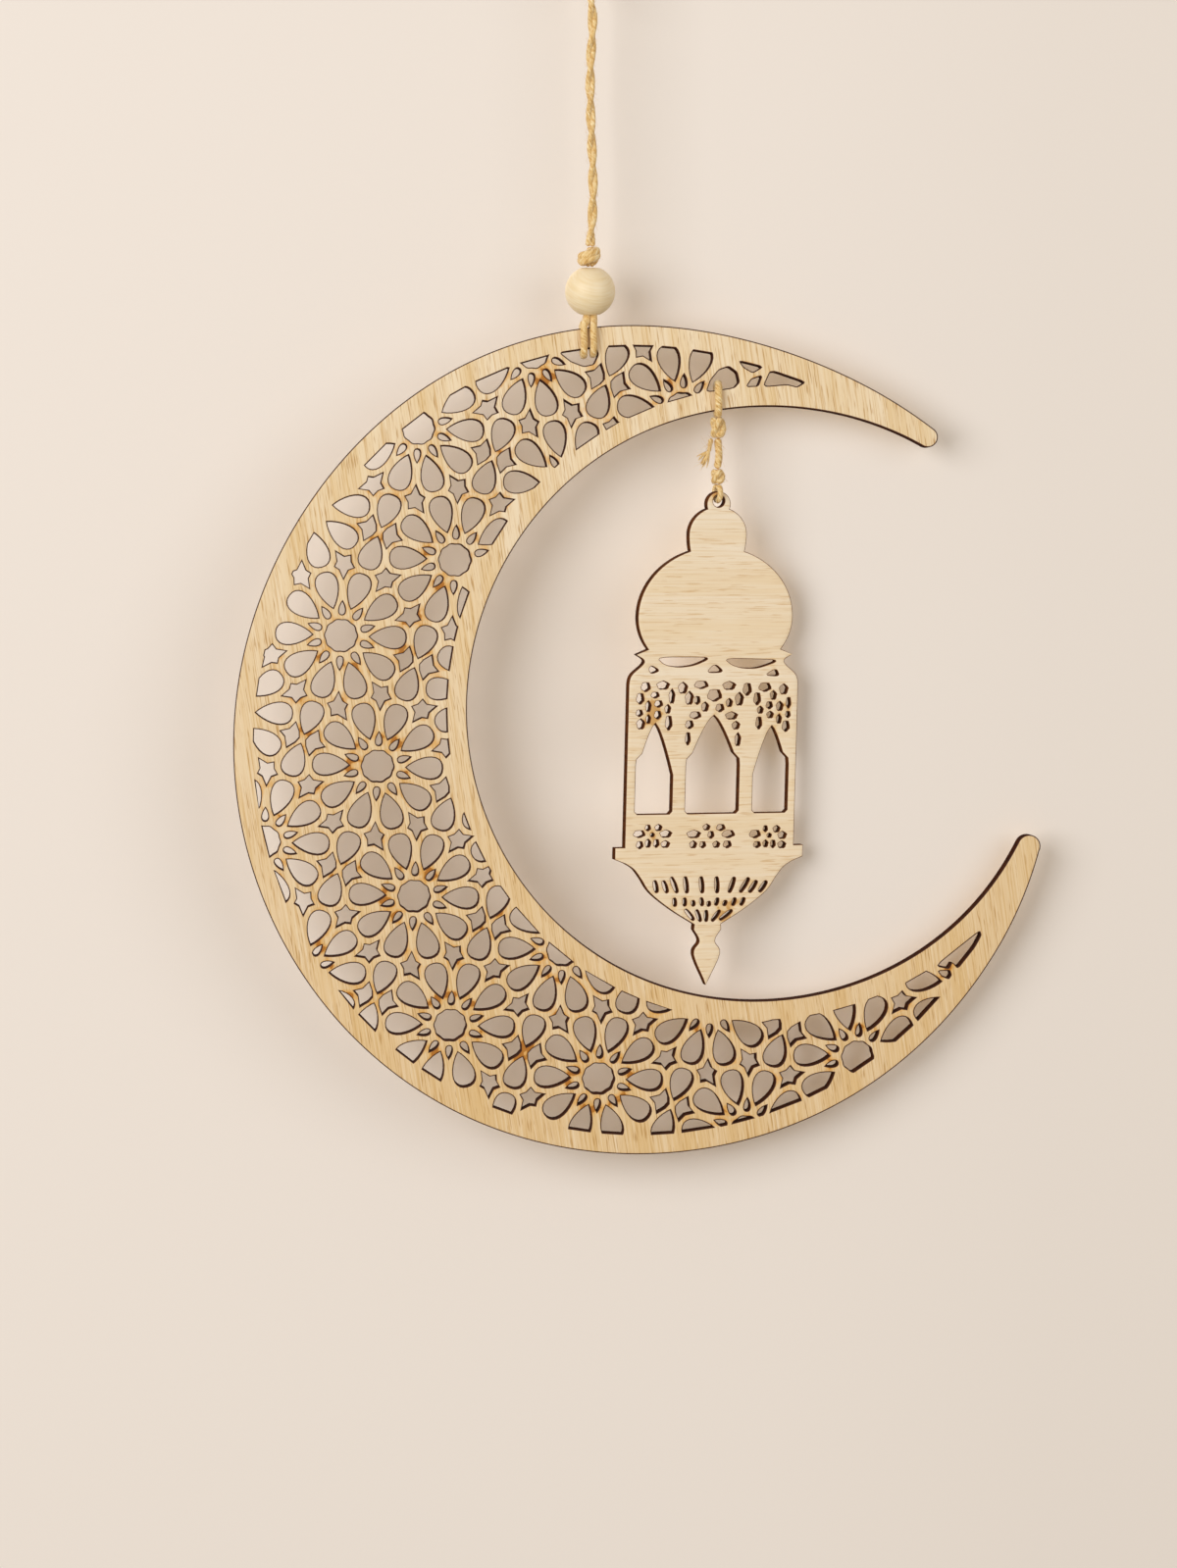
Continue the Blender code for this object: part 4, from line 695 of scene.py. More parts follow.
def stray_fibres(track, reference, count, reach, length, seed, bias=(0, 0, 0)):
    """Fine hairs that leave a cord: each a three-sided thread that starts at reach from the track,
    leans along it and outwards, curls a little and ends in a point."""
    reach, length = reach * MM, length * MM
    dice = np.random.default_rng(seed)
    ahead, side, up = rope_frame(track, reference)
    at = dice.integers(1, len(track) - 1, count)
    turn = dice.uniform(0, 2 * math.pi, count)
    out = np.cos(turn)[:, None] * side[at] + np.sin(turn)[:, None] * up[at]
    lean = ahead[at] * dice.choice([-1, 1], count)[:, None] * dice.uniform(0.5, 1.4, count)[:, None]
    way = out * dice.uniform(0.35, 0.9, count)[:, None] + lean + np.array(bias)
    way /= np.linalg.norm(way, axis=1)[:, None]
    curl = dice.normal(0, 0.22, (count, 3))
    share = np.array([0, 0.35, 0.7, 1.0])
    size = length * dice.uniform(0.35, 1.0, count)[:, None, None]
    spine = track[at][:, None] + reach * out[:, None] + size * share[None, :, None] * way[:, None]
    spine = spine + size * (share ** 2)[None, :, None] * curl[:, None]
    girth = 0.07 * MM * (1 - 0.8 * share)
    corners = np.arange(3) * 2 * math.pi / 3
    ring = np.cos(corners)[:, None, None] * out + np.sin(corners)[:, None, None] * np.cross(way, out)
    points = spine[:, :, None] + girth[None, :, None, None] * ring.transpose(1, 0, 2)[:, None]
    base = (np.arange(count) * 12)[:, None, None] + (np.arange(3) * 3)[None, :, None]
    here, after = base + np.arange(3), base + (np.arange(3) + 1) % 3
    quads = np.stack([here, after, after + 3, here + 3], axis=-1).reshape(-1, 4)
    first = np.arange(count)[:, None] * 12
    ends = np.vstack([first + [2, 1, 0], first + [9, 10, 11]])
    fibre = np.broadcast_to(turn[:, None, None] * [0.0, 1.3, 2.1], (count, 12, 3)).reshape(-1, 3)
    return points.reshape(-1, 3), fibre, [quads, ends]


def add_cord(solid, body, track, reference, laid, inner=(), ending="_cord"):
    """One piece of jute in place of a solid: a rope along a track, further ropes, and loose fibres. laid
    says how the first is laid: strands, spread, radius, lay, sides and taper."""
    loose = stray_fibres(track, reference, *LOOSE_FIBRES[solid])
    points, fibre, faces, first = [], [], [], 0
    for group_points, group_fibre, group_faces in (rope(track, reference, *laid), *inner, loose):
        points.append(group_points)
        fibre.append(group_fibre)
        faces += [each + first for each in group_faces]
        first += len(group_points)
    made = add_piece(solid + ending, np.vstack(points), faces, [jute], body, [solid])
    lay = made.data.attributes.new("fibre", "FLOAT_VECTOR", "POINT")
    lay.data.foreach_set("vector", np.vstack(fibre).astype(np.float32).ravel())
    made.data.shade_smooth()
    return made


def wrapped_track(centre, across, height, turns, tilt, points=150):
    """Wraps of a knot: a coil about an upright axis, leaning, whose two ends tuck in to the middle."""
    t = np.linspace(0, 1, points)
    turn = 2 * math.pi * turns * t - 0.6
    reach = across * np.clip(np.minimum(t, 1 - t) * 9, 0.25, 1) ** 0.5
    spoke = np.c_[np.cos(turn), np.sin(turn), np.zeros(points)]
    track = reach[:, None] * spoke
    track[:, 2] = height * (t - 0.5) + tilt * track[:, 0]
    return track + np.array(centre), AXIS_Z


def knot_track(centre, across, half_height, points=150):
    """Overhand knot: a line that goes twice round an upright axis while it circles three times
    about a ring, so that it crosses over and under itself."""
    t = np.linspace(0.06, 2 * math.pi - 0.06, points) + 0.9
    ring, swing = 0.62 * across, 0.38 * across
    reach = ring + swing * np.cos(3 * t)
    track = np.c_[reach * np.cos(2 * t), reach * np.sin(2 * t), half_height * np.sin(3 * t)]
    spoke = np.c_[np.cos(2 * t), np.sin(2 * t), np.zeros(points)]
    return track + np.array(centre), spoke


# Stage


def add_camera():
    """Camera at the viewing angle of the photograph, aimed at the point in the middle of its frame."""
    data = bpy.data.cameras.new("camera")
    data.sensor_fit = "VERTICAL"
    data.sensor_height = SENSOR
    data.sensor_width = SENSOR
    data.lens = FOCAL_PIXELS * SENSOR / PICTURE[1]
    data.clip_end = 50
    made = bpy.data.objects.new("camera", data)
    bpy.context.collection.objects.link(made)
    out = Vector((-math.sin(CAMERA_AZIMUTH) * math.cos(CAMERA_ELEVATION),
                  -math.cos(CAMERA_AZIMUTH) * math.cos(CAMERA_ELEVATION), math.sin(CAMERA_ELEVATION)))
    made.location = LOOKED_AT + CAMERA_DISTANCE * out
    right = Vector((math.cos(CAMERA_AZIMUTH), -math.sin(CAMERA_AZIMUTH), 0))
    up = right.cross(-out)
    across = (PICTURE[0] / 2 - LOOKED_AT_PIXEL[0]) / FOCAL_PIXELS
    down = (PICTURE[1] / 2 - LOOKED_AT_PIXEL[1]) / FOCAL_PIXELS
    aim = -out + right * across - up * down
    made.rotation_euler = aim.to_track_quat("-Z", "Y").to_euler()
    bpy.context.scene.camera = made


def add_area(name, at, target, size, power, colour="#FFFFFF"):
    """Round soft lamp at a place, turned to its target."""
    data = bpy.data.lights.new(name, "AREA")
    data.shape = "DISK"
    data.size = size
    data.energy = power
    data.color = linear(colour)[:3]
    made = bpy.data.objects.new(name, data)
    made.location = at
    made.rotation_euler = (Vector(target) - Vector(at)).to_track_quat("-Z", "Y").to_euler()
    bpy.context.collection.objects.link(made)


def add_wall():
    """Plain wall just behind the hanging, which hangs a little turned: the wall faces the camera, and
    past the lantern it bends softly to run square behind the hanging, clear of it when it swings."""
    start, stop = WALL_BEND
    across = np.array([-WALL_REACH, *np.linspace(start, stop, 33), WALL_REACH])
    bent_away = np.clip(across - start, 0, stop - start) ** 2 / 2 / (stop - start)
    forward = math.tan(CAMERA_AZIMUTH) * (np.minimum(across, stop) - bent_away)
    count = len(across)
    foot = np.c_[across, WALL_DISTANCE - forward, np.full(count, -WALL_REACH)]
    left = np.arange(count - 1)
    mesh = bpy.data.meshes.new("wall")
    mesh.from_pydata(np.vstack([foot, foot * (1, 1, -1)]).tolist(), [],
                     np.c_[left, left + 1, left + 1 + count, left + count].tolist())
    mesh.shade_smooth()
    mesh.materials.append(emulsion_wall())
    made = bpy.data.objects.new("wall", mesh)
    bpy.context.collection.objects.link(made)


def add_world():
    """Soft light from all round; where the camera looks past the wall it sees a plain pale backdrop."""
    world = bpy.data.worlds.new("studio")
    bpy.context.scene.world = world
    world.use_nodes = True
    tree = world.node_tree
    light = tree.nodes["Background"]
    light.inputs["Color"].default_value = linear("#F8EAD6")
    light.inputs["Strength"].default_value = 0.42
    backdrop = node(tree, "ShaderNodeBackground", {"Color": linear("#E6DCD1"), "Strength": 1.0})
    ray = node(tree, "ShaderNodeLightPath")
    seen = node(tree, "ShaderNodeMixShader", links={0: ray.outputs["Is Camera Ray"], 1: light.outputs[0],
                                                    2: backdrop.outputs[0]})
    tree.links.new(seen.outputs[0], tree.nodes["World Output"].inputs["Surface"])


add_camera()
add_world()
add_wall()
add_area("window", (-1.75, -1.85, 0.3), (0, 0, -0.3), 2.0, 45, "#FAFBFF")
add_area("fill", (1.3, -2.1, 0.3), (0, 0, -0.3), 1.8, 15, "#FAFBFF")
add_area("back", (-0.6, 2.3, 0.5), (0, 0, -0.3), 1.8, 17, "#FFF8EC")

# The moon's two edges, in its own plane with the outer edge's centre as the middle


def wave(radius, swells, angle):
    """Radius of a nearly round edge at an angle: the mean radius plus each swell's cosine."""
    return radius + sum(height * np.cos(count * (angle - turn)) for count, height, turn in swells)


def polar(radius, angle):
    """Point or points at a radius and an angle about the origin."""
    return np.stack([radius * np.cos(angle), radius * np.sin(angle)], axis=-1)


def turned(points, angle, centre=(0, 0)):
    """Points turned about the origin, then moved to centre."""
    cos, sin = math.cos(angle), math.sin(angle)
    return np.asarray(points) @ np.array([[cos, sin], [-sin, cos]]) + np.asarray(centre)


LANTERN_X = HANG_TO_LANTERN - HANG_TO_MOON_CENTRE
MOON_INNER_RADIUS = MOON_OUTER_RADIUS - (MOON_WIDEST + MOON_MOUTH) / 2
INNER_SHIFT = (MOON_WIDEST - MOON_MOUTH) / 2
INNER_CENTRE = INNER_SHIFT * np.array([math.cos(MOUTH_TURN), math.sin(MOUTH_TURN)])


def outer_reach(angle):
    """Radius of the outer edge, drawn in a little more towards the tip of the lower horn."""
    depth, start, span = LOWER_HORN_TAPER
    turn = (np.asarray(angle) + math.pi) % (2 * math.pi) - math.pi
    share = np.where(turn < -start, np.clip((turn - start) / span, 0, 1), 0)
    return wave(MOON_OUTER_RADIUS, OUTER_SWELLS, angle) - depth * share ** 2


def inside_outer(points, inset):
    """How far each point lies inside the outer edge moved in by inset, as a signed distance."""
    angle = np.arctan2(points[..., 1], points[..., 0])
    return outer_reach(angle) - inset - np.hypot(points[..., 0], points[..., 1])


def outside_inner(points, inset):
    """How far each point lies outside the inner edge moved out by inset, as a signed distance."""
    away = points - INNER_CENTRE
    angle = np.arctan2(away[..., 1], away[..., 0])
    reach = wave(MOON_INNER_RADIUS, INNER_SWELLS, angle)
    return np.hypot(away[..., 0], away[..., 1]) - reach - inset


def outer_point(angle):
    """Point or points of the outer edge at an angle from the moon's centre."""
    return polar(outer_reach(angle), angle)


def crossing(low, high, is_below):
    """Where is_below turns from true to false between low and high, by halving."""
    for _ in range(50):
        middle = (low + high) / 2
        if is_below(middle):
            low = middle
        else:
            high = middle
    return low


def edge_height(across, reach):
    """Height of one of the moon's edges over a place across, from the moon's centre."""
    return crossing(0, 2 * MOON_OUTER_RADIUS, lambda height: reach(np.array([across, height])) > 0)


def under_outer_rim(point):
    """How far a point lies inside the outer rim's inner side, as a signed distance."""
    return inside_outer(point, RIM_WIDTH)


def over_inner_rim(point):
    """How far a point lies inside the inner rim's outer side, as a signed distance."""
    return -outside_inner(point, RIM_WIDTH)


def horn_angle(side, width):
    """Angle at which the moon has narrowed to width, on one side of its line of symmetry."""
    return MOUTH_TURN + side * crossing(
        math.pi * 0.9, 0.0, lambda turn: outside_inner(outer_point(MOUTH_TURN + side * turn), 0) > width)


def horn_cap(start, end):
    """Half circle from start to end, bulging away from the moon's body, without its end points."""
    centre = (start + end) / 2
    spoke = start - centre
    turn = np.linspace(0, math.pi, HORN_STEPS + 1)[1:-1]
    side = np.array([spoke[1], -spoke[0]])
    if side @ centre < 0:
        side = -side
    return centre + np.outer(np.cos(turn), spoke) + np.outer(np.sin(turn), side)


def moon_outline():
    """Outer edge from the upper horn round to the lower one, then back along the inner edge."""
    upper = horn_angle(1, UPPER_HORN_WIDTH)
    lower = horn_angle(-1, LOWER_HORN_WIDTH) + 2 * math.pi
    outer_angles = np.linspace(upper, lower, round((lower - upper) / EDGE_STEP) + 1)
    outer = outer_point(outer_angles)
    heads = []
    for tip in (outer[-1], outer[0]):
        away = tip - INNER_CENTRE
        heads.append(math.atan2(away[1], away[0]) % (2 * math.pi))
    inner_angles = np.linspace(heads[0], heads[1], round(abs(heads[0] - heads[1]) / EDGE_STEP) + 1)
    inner = INNER_CENTRE + polar(wave(MOON_INNER_RADIUS, INNER_SWELLS, inner_angles), inner_angles)
    return np.vstack([outer, horn_cap(outer[-1], inner[0]), inner, horn_cap(inner[-1], outer[0])])


# The fretwork's openings


def drop(reach, width, steps, blunt=0.9, fullness=0.43):
    """Drop lying along X: its half width grows as distance^blunt and closes as (1-distance)^fullness."""
    share = np.sin(np.linspace(0, 1, steps + 1) * math.pi / 2) ** 1.3
    widest = blunt / (blunt + fullness)
    peak = widest ** blunt * (1 - widest) ** fullness
    half = width / 2 / peak * share ** blunt * (1 - share) ** fullness
    along = reach[0] + (reach[1] - reach[0]) * share
    return np.vstack([np.c_[along, half], np.c_[along, -half][-2:0:-1]])


def star():
    """Five-armed star, its odd arms longer, with its line of symmetry along X."""
    points = []
    for number, arm in enumerate(STAR_ARMS):
        points.append(polar(arm, (36 + 72 * number) * DEG))
        points.append(polar(STAR_WAIST, (72 + 72 * number) * DEG))
    return np.array(points)


def arrow():
    """Three-armed star with a round back towards +X."""
    back = polar(ARROW_BACK, np.array([-42, 0, 42]) * DEG)
    arms = []
    for arm, angle in zip(ARROW_ARMS, (90, 180, 270)):
        arms.append(polar(arm, angle * DEG))
        arms.append(polar(ARROW_WAIST, (angle + 35) * DEG))
    return np.vstack([back, arms[:-1]])


def hub():
    """Round middle of a rosette, drawn out a little towards each petal."""
    angles = np.arange(60) * math.pi / 30
    ripple = HUB_RIPPLE * np.cos(PETALS * (angles - GRID_TURN))
    return polar(HUB_RADIUS + ripple, angles)


def rosette_openings(centre, bow_centre):
    """All openings of one rosette and of the bow tie beside it, each with its least share."""
    pitch = ROSETTE_PITCH
    half_step = PETAL_STEP / 2
    corner = pitch / 2 / math.cos(half_step)
    petal = pitch * drop(PETAL_REACH, PETAL_WIDTH, 11)
    slot = pitch * drop((-SLOT_REACH[1], -SLOT_REACH[0]), SLOT_WIDTH, 7) * (-1, 1)
    bow = pitch * drop(BOW_REACH, BOW_WIDTH, 11)
    openings = [(centre + pitch * hub(), LEAST_LARGE)]
    for number in range(PETALS):
        along = GRID_TURN + PETAL_STEP * number
        openings.append((turned(petal, along, centre), LEAST_LARGE))
        openings.append((turned(slot, along + half_step, centre), LEAST_SLOT))
    for corner_turn, axis_turn in ((-1, -5), (1, 5), (3, -1), (5, 9)):
        at = centre + polar(corner, GRID_TURN + half_step * corner_turn)
        openings.append((turned(pitch * star(), GRID_TURN + half_step * axis_turn, at), LEAST_STAR))
    for corner_turn in (-3, 7):
        along = GRID_TURN + half_step * corner_turn
        at = centre + polar(pitch * ARROW_CENTRE, along)
        openings.append((turned(pitch * arrow(), along, at), LEAST_STAR))
    for end in (0, math.pi):
        openings.append((turned(bow, GRID_TURN + PETAL_STEP + end, bow_centre), LEAST_LARGE))
    return openings


def curved(points, steps=5):
    """A smooth line through points: each side is a cubic that leaves its two points along the line
    between their neighbours."""
    points = np.array(points, dtype=float)
    held = np.vstack([2 * points[0] - points[1], points, 2 * points[-1] - points[-2]])
    before, start, stop, after = (held[at:len(points) - 1 + at, None] for at in range(4))
    t = (np.arange(steps) / steps)[None, :, None]
    square = 2 * before - 5 * start + 4 * stop - after
    cube = 3 * start - before - 3 * stop + after
    bends = 0.5 * (2 * start + (stop - before) * t + square * t ** 2 + cube * t ** 3)
    return np.vstack([bends.reshape(-1, points.shape[1]), points[-1:]])


def eased(points, share=0.25, times=2):
    """A closed line whose corners are each cut off at a share of both sides, a few times over."""
    points = np.asarray(points)
    for _ in range(times):
        ahead = np.roll(points, -1, axis=0)
        near, far = points + (ahead - points) * share, ahead - (ahead - points) * share
        points = np.stack([near, far], axis=1).reshape(-1, 2)
    return points


def signed_area(points):
    """Area in a closed line, positive where it runs anticlockwise."""
    x, y = points[:, 0], points[:, 1]
    return 0.5 * float(np.sum(x * np.roll(y, -1) - y * np.roll(x, -1)))


def trimmed(points, depth_at):
    """The parts of an outline that lie where depth_at is positive, cut along short straight chords."""
    depth = depth_at(points)
    if depth.min() >= 0:
        return [points]
    if depth.max() <= 0:
        return []
    count = len(points)
    start = next(i for i in range(count) if depth[i - 1] < 0 <= depth[i])
    runs, run = [], []
    for step in range(count + 1):
        here, before = (start + step) % count, (start + step - 1) % count
        if (depth[before] < 0) != (depth[here] < 0):
            share = depth[before] / (depth[before] - depth[here])
            run.append(points[before] + (points[here] - points[before]) * share)
            if depth[here] < 0:
                runs.append(run)
                run = []
        if depth[here] >= 0 and step < count:
            run.append(points[here])
    along = runs[0][0] - runs[-1][-1]
    if len(runs) > 1:
        ends = np.array([run[side] for run in runs for side in (0, -1)])
        spread = ends - ends.mean(axis=0)
        along = spread[np.argmax(np.hypot(spread[:, 0], spread[:, 1]))]
    marks = sorted((float(run[side] @ along), number, side) for number, run in enumerate(runs)
                   for side in (0, -1))
    partner = {}
    for one, two in zip(marks[::2], marks[1::2]):
        partner[one[1:]] = two[1:]
        partner[two[1:]] = one[1:]
    pieces, left = [], set(range(len(runs)))
    while left:
        number = min(left)
        piece = []
        while number in left:
            left.remove(number)
            piece += runs[number]
            number = partner[(number, -1)][0]
        pieces.append(np.array(piece))
    return pieces


def without_short_sides(points):
    """The outline without points that lie closer than SHORTEST_SIDE to the one before."""
    gap = np.hypot(*(points - np.roll(points, 1, axis=0)).T)
    return points[gap > SHORTEST_SIDE]


def is_kept(piece, share, least):
    """Whether a cut-off opening is large enough, or one of the slivers that are kept."""
    angle = math.atan2(*piece.mean(axis=0)[::-1])
    if FRET_ENDS[0] < angle < FRET_ENDS[1]:
        return False
    if share >= least:
        return True
    near = min(abs(angle - kept) for kept in KEPT_SLIVERS)
    return share > KEPT_SLIVER_LEAST and near < KEPT_SLIVER_SPREAD


def horn_opening(side, width, points):
    """Opening whose points are given as degrees from a horn's tip and shares of the width there."""
    placed = []
    for degrees, share in points:
        angle = np.float64(horn_angle(side, width) + side * degrees * DEG)

        def is_short(reach):
            point = polar(reach, angle)
            height = outside_inner(point, 0)
            return height < share * (height + inside_outer(point, 0))

        reach = crossing(MOON_OUTER_RADIUS / 2, float(outer_reach(angle)), is_short)
        placed.append(polar(reach, angle))
    return eased(placed, 0.12)


def cord_opening(across, points, reach, side):
    """Opening under or over a rim; its points lie across from the cord and off the rim's own edge."""
    return eased([(across + x * MM, edge_height(across + x * MM, reach) + side * away * MM)
                  for x, away in points], 0.12)


def set_openings():
    """The openings that are placed one by one: at the two cords and at the horns."""
    cords = [cord_opening(-HANG_TO_MOON_CENTRE, HANG_OPENING, under_outer_rim, -1),
             cord_opening(LANTERN_X, LANTERN_OPENING, over_inner_rim, 1)]
    horns = [horn_opening(1, UPPER_HORN_WIDTH, points) for points in UPPER_HORN_OPENINGS]
    horns += [horn_opening(-1, LOWER_HORN_WIDTH, points) for points in LOWER_HORN_OPENINGS]
    return cords + [points for points in horns if is_clear(points, cords)]


def least_gap(one, other):
    """Least distance between two outlines, or zero where they cross or one holds the other."""
    least = math.inf
    for points, ring in ((one, other), (other, one)):
        if holds(ring, points).any():
            return 0.0
        side = np.roll(ring, -1, axis=0) - ring
        away = points[:, None] - ring
        share = np.clip((away * side).sum(-1) / (side * side).sum(-1), 0, 1)
        least = min(least, float(np.linalg.norm(away - share[..., None] * side, axis=-1).min()))
    return least


def is_clear(points, others):
    """Whether a strap is left between an opening and each of the others."""
    return min(least_gap(points, other) for other in others) > LEAST_STRAP


def moon_openings():
    """Every rosette opening, cut back to the band between the rims, slivers left solid."""
    row = polar(ROSETTE_PITCH, GRID_TURN - GRID_OBTUSE)
    column = polar(ROSETTE_PITCH, np.float64(GRID_TURN))
    placed = set_openings()
    kept = list(placed)
    span = math.ceil(2 * MOON_OUTER_RADIUS / ROSETTE_PITCH)
    steps = range(-span, span + 1)
    centres = [np.array(FIRST_ROSETTE) + i * row + j * column for i in steps for j in steps]
    for centre in centres:
        if np.hypot(*centre) > MOON_OUTER_RADIUS + ROSETTE_PITCH:
            continue
        for opening, least in rosette_openings(centre, centre + (row + column) / 2):
            whole = abs(signed_area(opening))
            for outer_cut in trimmed(opening, under_outer_rim):
                bound = least[0] if abs(signed_area(outer_cut)) < 0.99 * whole else least[1]
                for cut in trimmed(outer_cut, lambda points: -over_inner_rim(points)):
                    if is_kept(cut, abs(signed_area(cut)) / whole, bound) and is_clear(cut, placed):
                        kept.append(without_short_sides(cut))
    return kept


# The lantern's outline and openings, with its hanging hole as the middle and Y up


SMALL_FOOT = SMALL_DOME[2]
BIG_FOOT = SMALL_FOOT + BIG_DOME[2]
BODY_TOP = BIG_FOOT + MOULDING_HEIGHT
LEDGE_HALF = BODY_HALF + LEDGE_OVERHANG
LEDGE_TOP = BODY_TOP + BODY_HEIGHT
LEDGE_FOOT = LEDGE_TOP + LEDGE_HEIGHT
BOWL_FOOT = LEDGE_FOOT + BOWL_HEIGHT


def scaled(points, half, top, height):
    """Points given as shares across a half width and down a height, below a level."""
    return [(across * half, -top - down * height) for across, down in points]


def dome_side(dome, top_half, start, level):
    """Right side of an onion dome: an ellipse quarter down to its widest, then another to its foot."""
    half, depth, foot, foot_share = dome
    above = math.acos(min(1, top_half / half))
    below = math.acos(foot_share)
    rise = (depth - start) / math.sin(above)
    fall = (foot - depth) / math.sin(below)
    middle = level + depth
    upper, lower = np.linspace(above, 0, DOME_STEPS), np.linspace(0, below, 10)[1:]
    return [*np.c_[half * np.cos(upper), rise * np.sin(upper) - middle],
            *np.c_[half * np.cos(lower), -fall * np.sin(lower) - middle]]


def lantern_outline():
    """Right side from the ring's top down to the finial's tip, mirrored for the left side."""
    join = math.acos(0.93)
    turn = np.linspace(0, math.pi / 2 + join, 16)
    side = [*np.c_[RING_RADIUS * np.sin(turn), RING_RADIUS * np.cos(turn) - RING_DROP]]
    side += dome_side(SMALL_DOME, side[-1][0] + SHORTEST_SIDE, -side[-1][1], 0)
    side += dome_side(BIG_DOME, side[-1][0], 0, SMALL_FOOT)[1:]
    moulding = scaled(MOULDING, BODY_HALF, BIG_FOOT, MOULDING_HEIGHT)
    side += curved(moulding + [(BODY_HALF, -BODY_TOP)]).tolist()
    side += [(BODY_HALF, -LEDGE_TOP)]
    side += [(LEDGE_HALF, -LEDGE_TOP), (LEDGE_HALF, -LEDGE_FOOT)]
    side += curved(scaled(BOWL, LEDGE_HALF, LEDGE_FOOT, BOWL_HEIGHT)).tolist()
    finial = scaled(FINIAL, FINIAL_HALF, BOWL_FOOT, FINIAL_LENGTH)
    side += curved(finial + [(0, -BOWL_FOOT - FINIAL_LENGTH)]).tolist()[:-1]
    left = [(-across, height) for across, height in side[:0:-1]]
    return np.array(side + [(0, -BOWL_FOOT - FINIAL_LENGTH)] + left)


def window(middle, half, shoulders, top):
    """Pointed arch, its half width growing as depth^0.72, with a step at its shoulders and two small
    bottom corners."""
    middle, half = middle * BODY_HALF, half * BODY_HALF
    top, shoulder, foot = (BODY_TOP + share * BODY_HEIGHT for share in (top, WINDOW_SHOULDER, WINDOW_FOOT))
    left, right = [], []
    for side, points in ((-1, left), (1, right)):
        step = WINDOW_SHOULDER_STEP if side in shoulders else 0
        depth = shoulder - top + (0 if step else WINDOW_PLAIN_SPRING * BODY_HEIGHT)
        for share in np.linspace(0.1, 1, 10):
            points.append((middle + side * (half - step) * share ** 0.72, -top - depth * share))
        if step:
            points.append((middle + side * (half - step * 0.1), -shoulder - step * 0.9))
            points.append((middle + side * half, -shoulder - step * 1.8))
        points.append((middle + side * half, -foot + WINDOW_CORNER))
        points.append((middle + side * (half - WINDOW_CORNER), -foot))
    return np.array([(middle, -top)] + right + left[::-1])


def rounded(across, down, width, height, turn):
    """Pebble-shaped opening: a flattened ring, bulging by turns as a rounded five-sided stone does."""
    angles = np.arange(PEBBLE_SIDES) * 2 * math.pi / PEBBLE_SIDES + turn
    bulge = 0.95 + 0.09 * np.cos(5 * (angles - turn))
    x = (across + width / 2 * bulge * np.cos(angles)) * BODY_HALF
    return np.c_[x, -BODY_TOP - (down - height / 2 * bulge * np.sin(angles)) * BODY_HEIGHT]


def slit(ends, width):
    """Slanted slit, wider at its middle than at its ends."""
    top, foot = np.array(scaled((ends[:2], ends[2:]), LEDGE_HALF, LEDGE_FOOT, BOWL_HEIGHT))
    along = (foot - top) / np.hypot(*(foot - top))
    side = np.array([-along[1], along[0]]) * width / 2
    middle = (top + foot) / 2
    return np.array([foot - side * 0.8, middle - side, top - side * 0.5,
                     top + side * 0.8, middle + side, foot + side * 0.5])


def lantern_openings():
    """Hanging hole, eyes, wedges, windows, pebbles and slits."""
    openings = [polar(RING_HOLE_RADIUS, np.arange(32) * math.pi / 16)]
    for shape in EYES + WEDGES:
        openings.append(eased(scaled(shape, BODY_HALF, BIG_FOOT, MOULDING_HEIGHT), 0.2))
    openings += [window(*shares) for shares in WINDOWS]
    for number, pebble in enumerate(PEBBLES):
        openings.append(rounded(*pebble, (90 if number % 2 else 54) * DEG))
    for slits, width in ((TALL_SLITS, TALL_SLIT_WIDTH), (SHORT_SLITS, SHORT_SLIT_WIDTH)):
        openings += [eased(slit(ends, width), 0.2) for ends in slits]
    return openings


# Places along the hanging cord, all in the world

MOON_X = HANG_TO_MOON_CENTRE
TOP_KNOT_TOP = STRAND_DIAMETER / 2 - TOP_LOOP_HEIGHT
CORD_TOP = TOP_KNOT_TOP - TOP_KNOT_LENGTH - TOUCH_GAP
CORD_FOOT = CORD_TOP - CORD_LENGTH
BEAD_KNOT_CENTRE = CORD_FOOT - TOUCH_GAP - BEAD_KNOT_LENGTH / 2
BEAD_HALF = math.sqrt((BEAD_DIAMETER / 2) ** 2 - (BEAD_BORE / 2) ** 2)
BEAD_CENTRE = BEAD_KNOT_CENTRE - BEAD_KNOT_LENGTH / 2 - TOUCH_GAP - BEAD_HALF
RIM_TOP = BEAD_CENTRE - BEAD_HALF - BEAD_TO_RIM
MOON_Z = RIM_TOP - edge_height(-MOON_X, lambda point: inside_outer(point, 0))


def slot_top(across):
    """Height of the rim's lower edge, over the openings, at a place across from the hook."""
    return MOON_Z + edge_height(across - MOON_X, under_outer_rim)


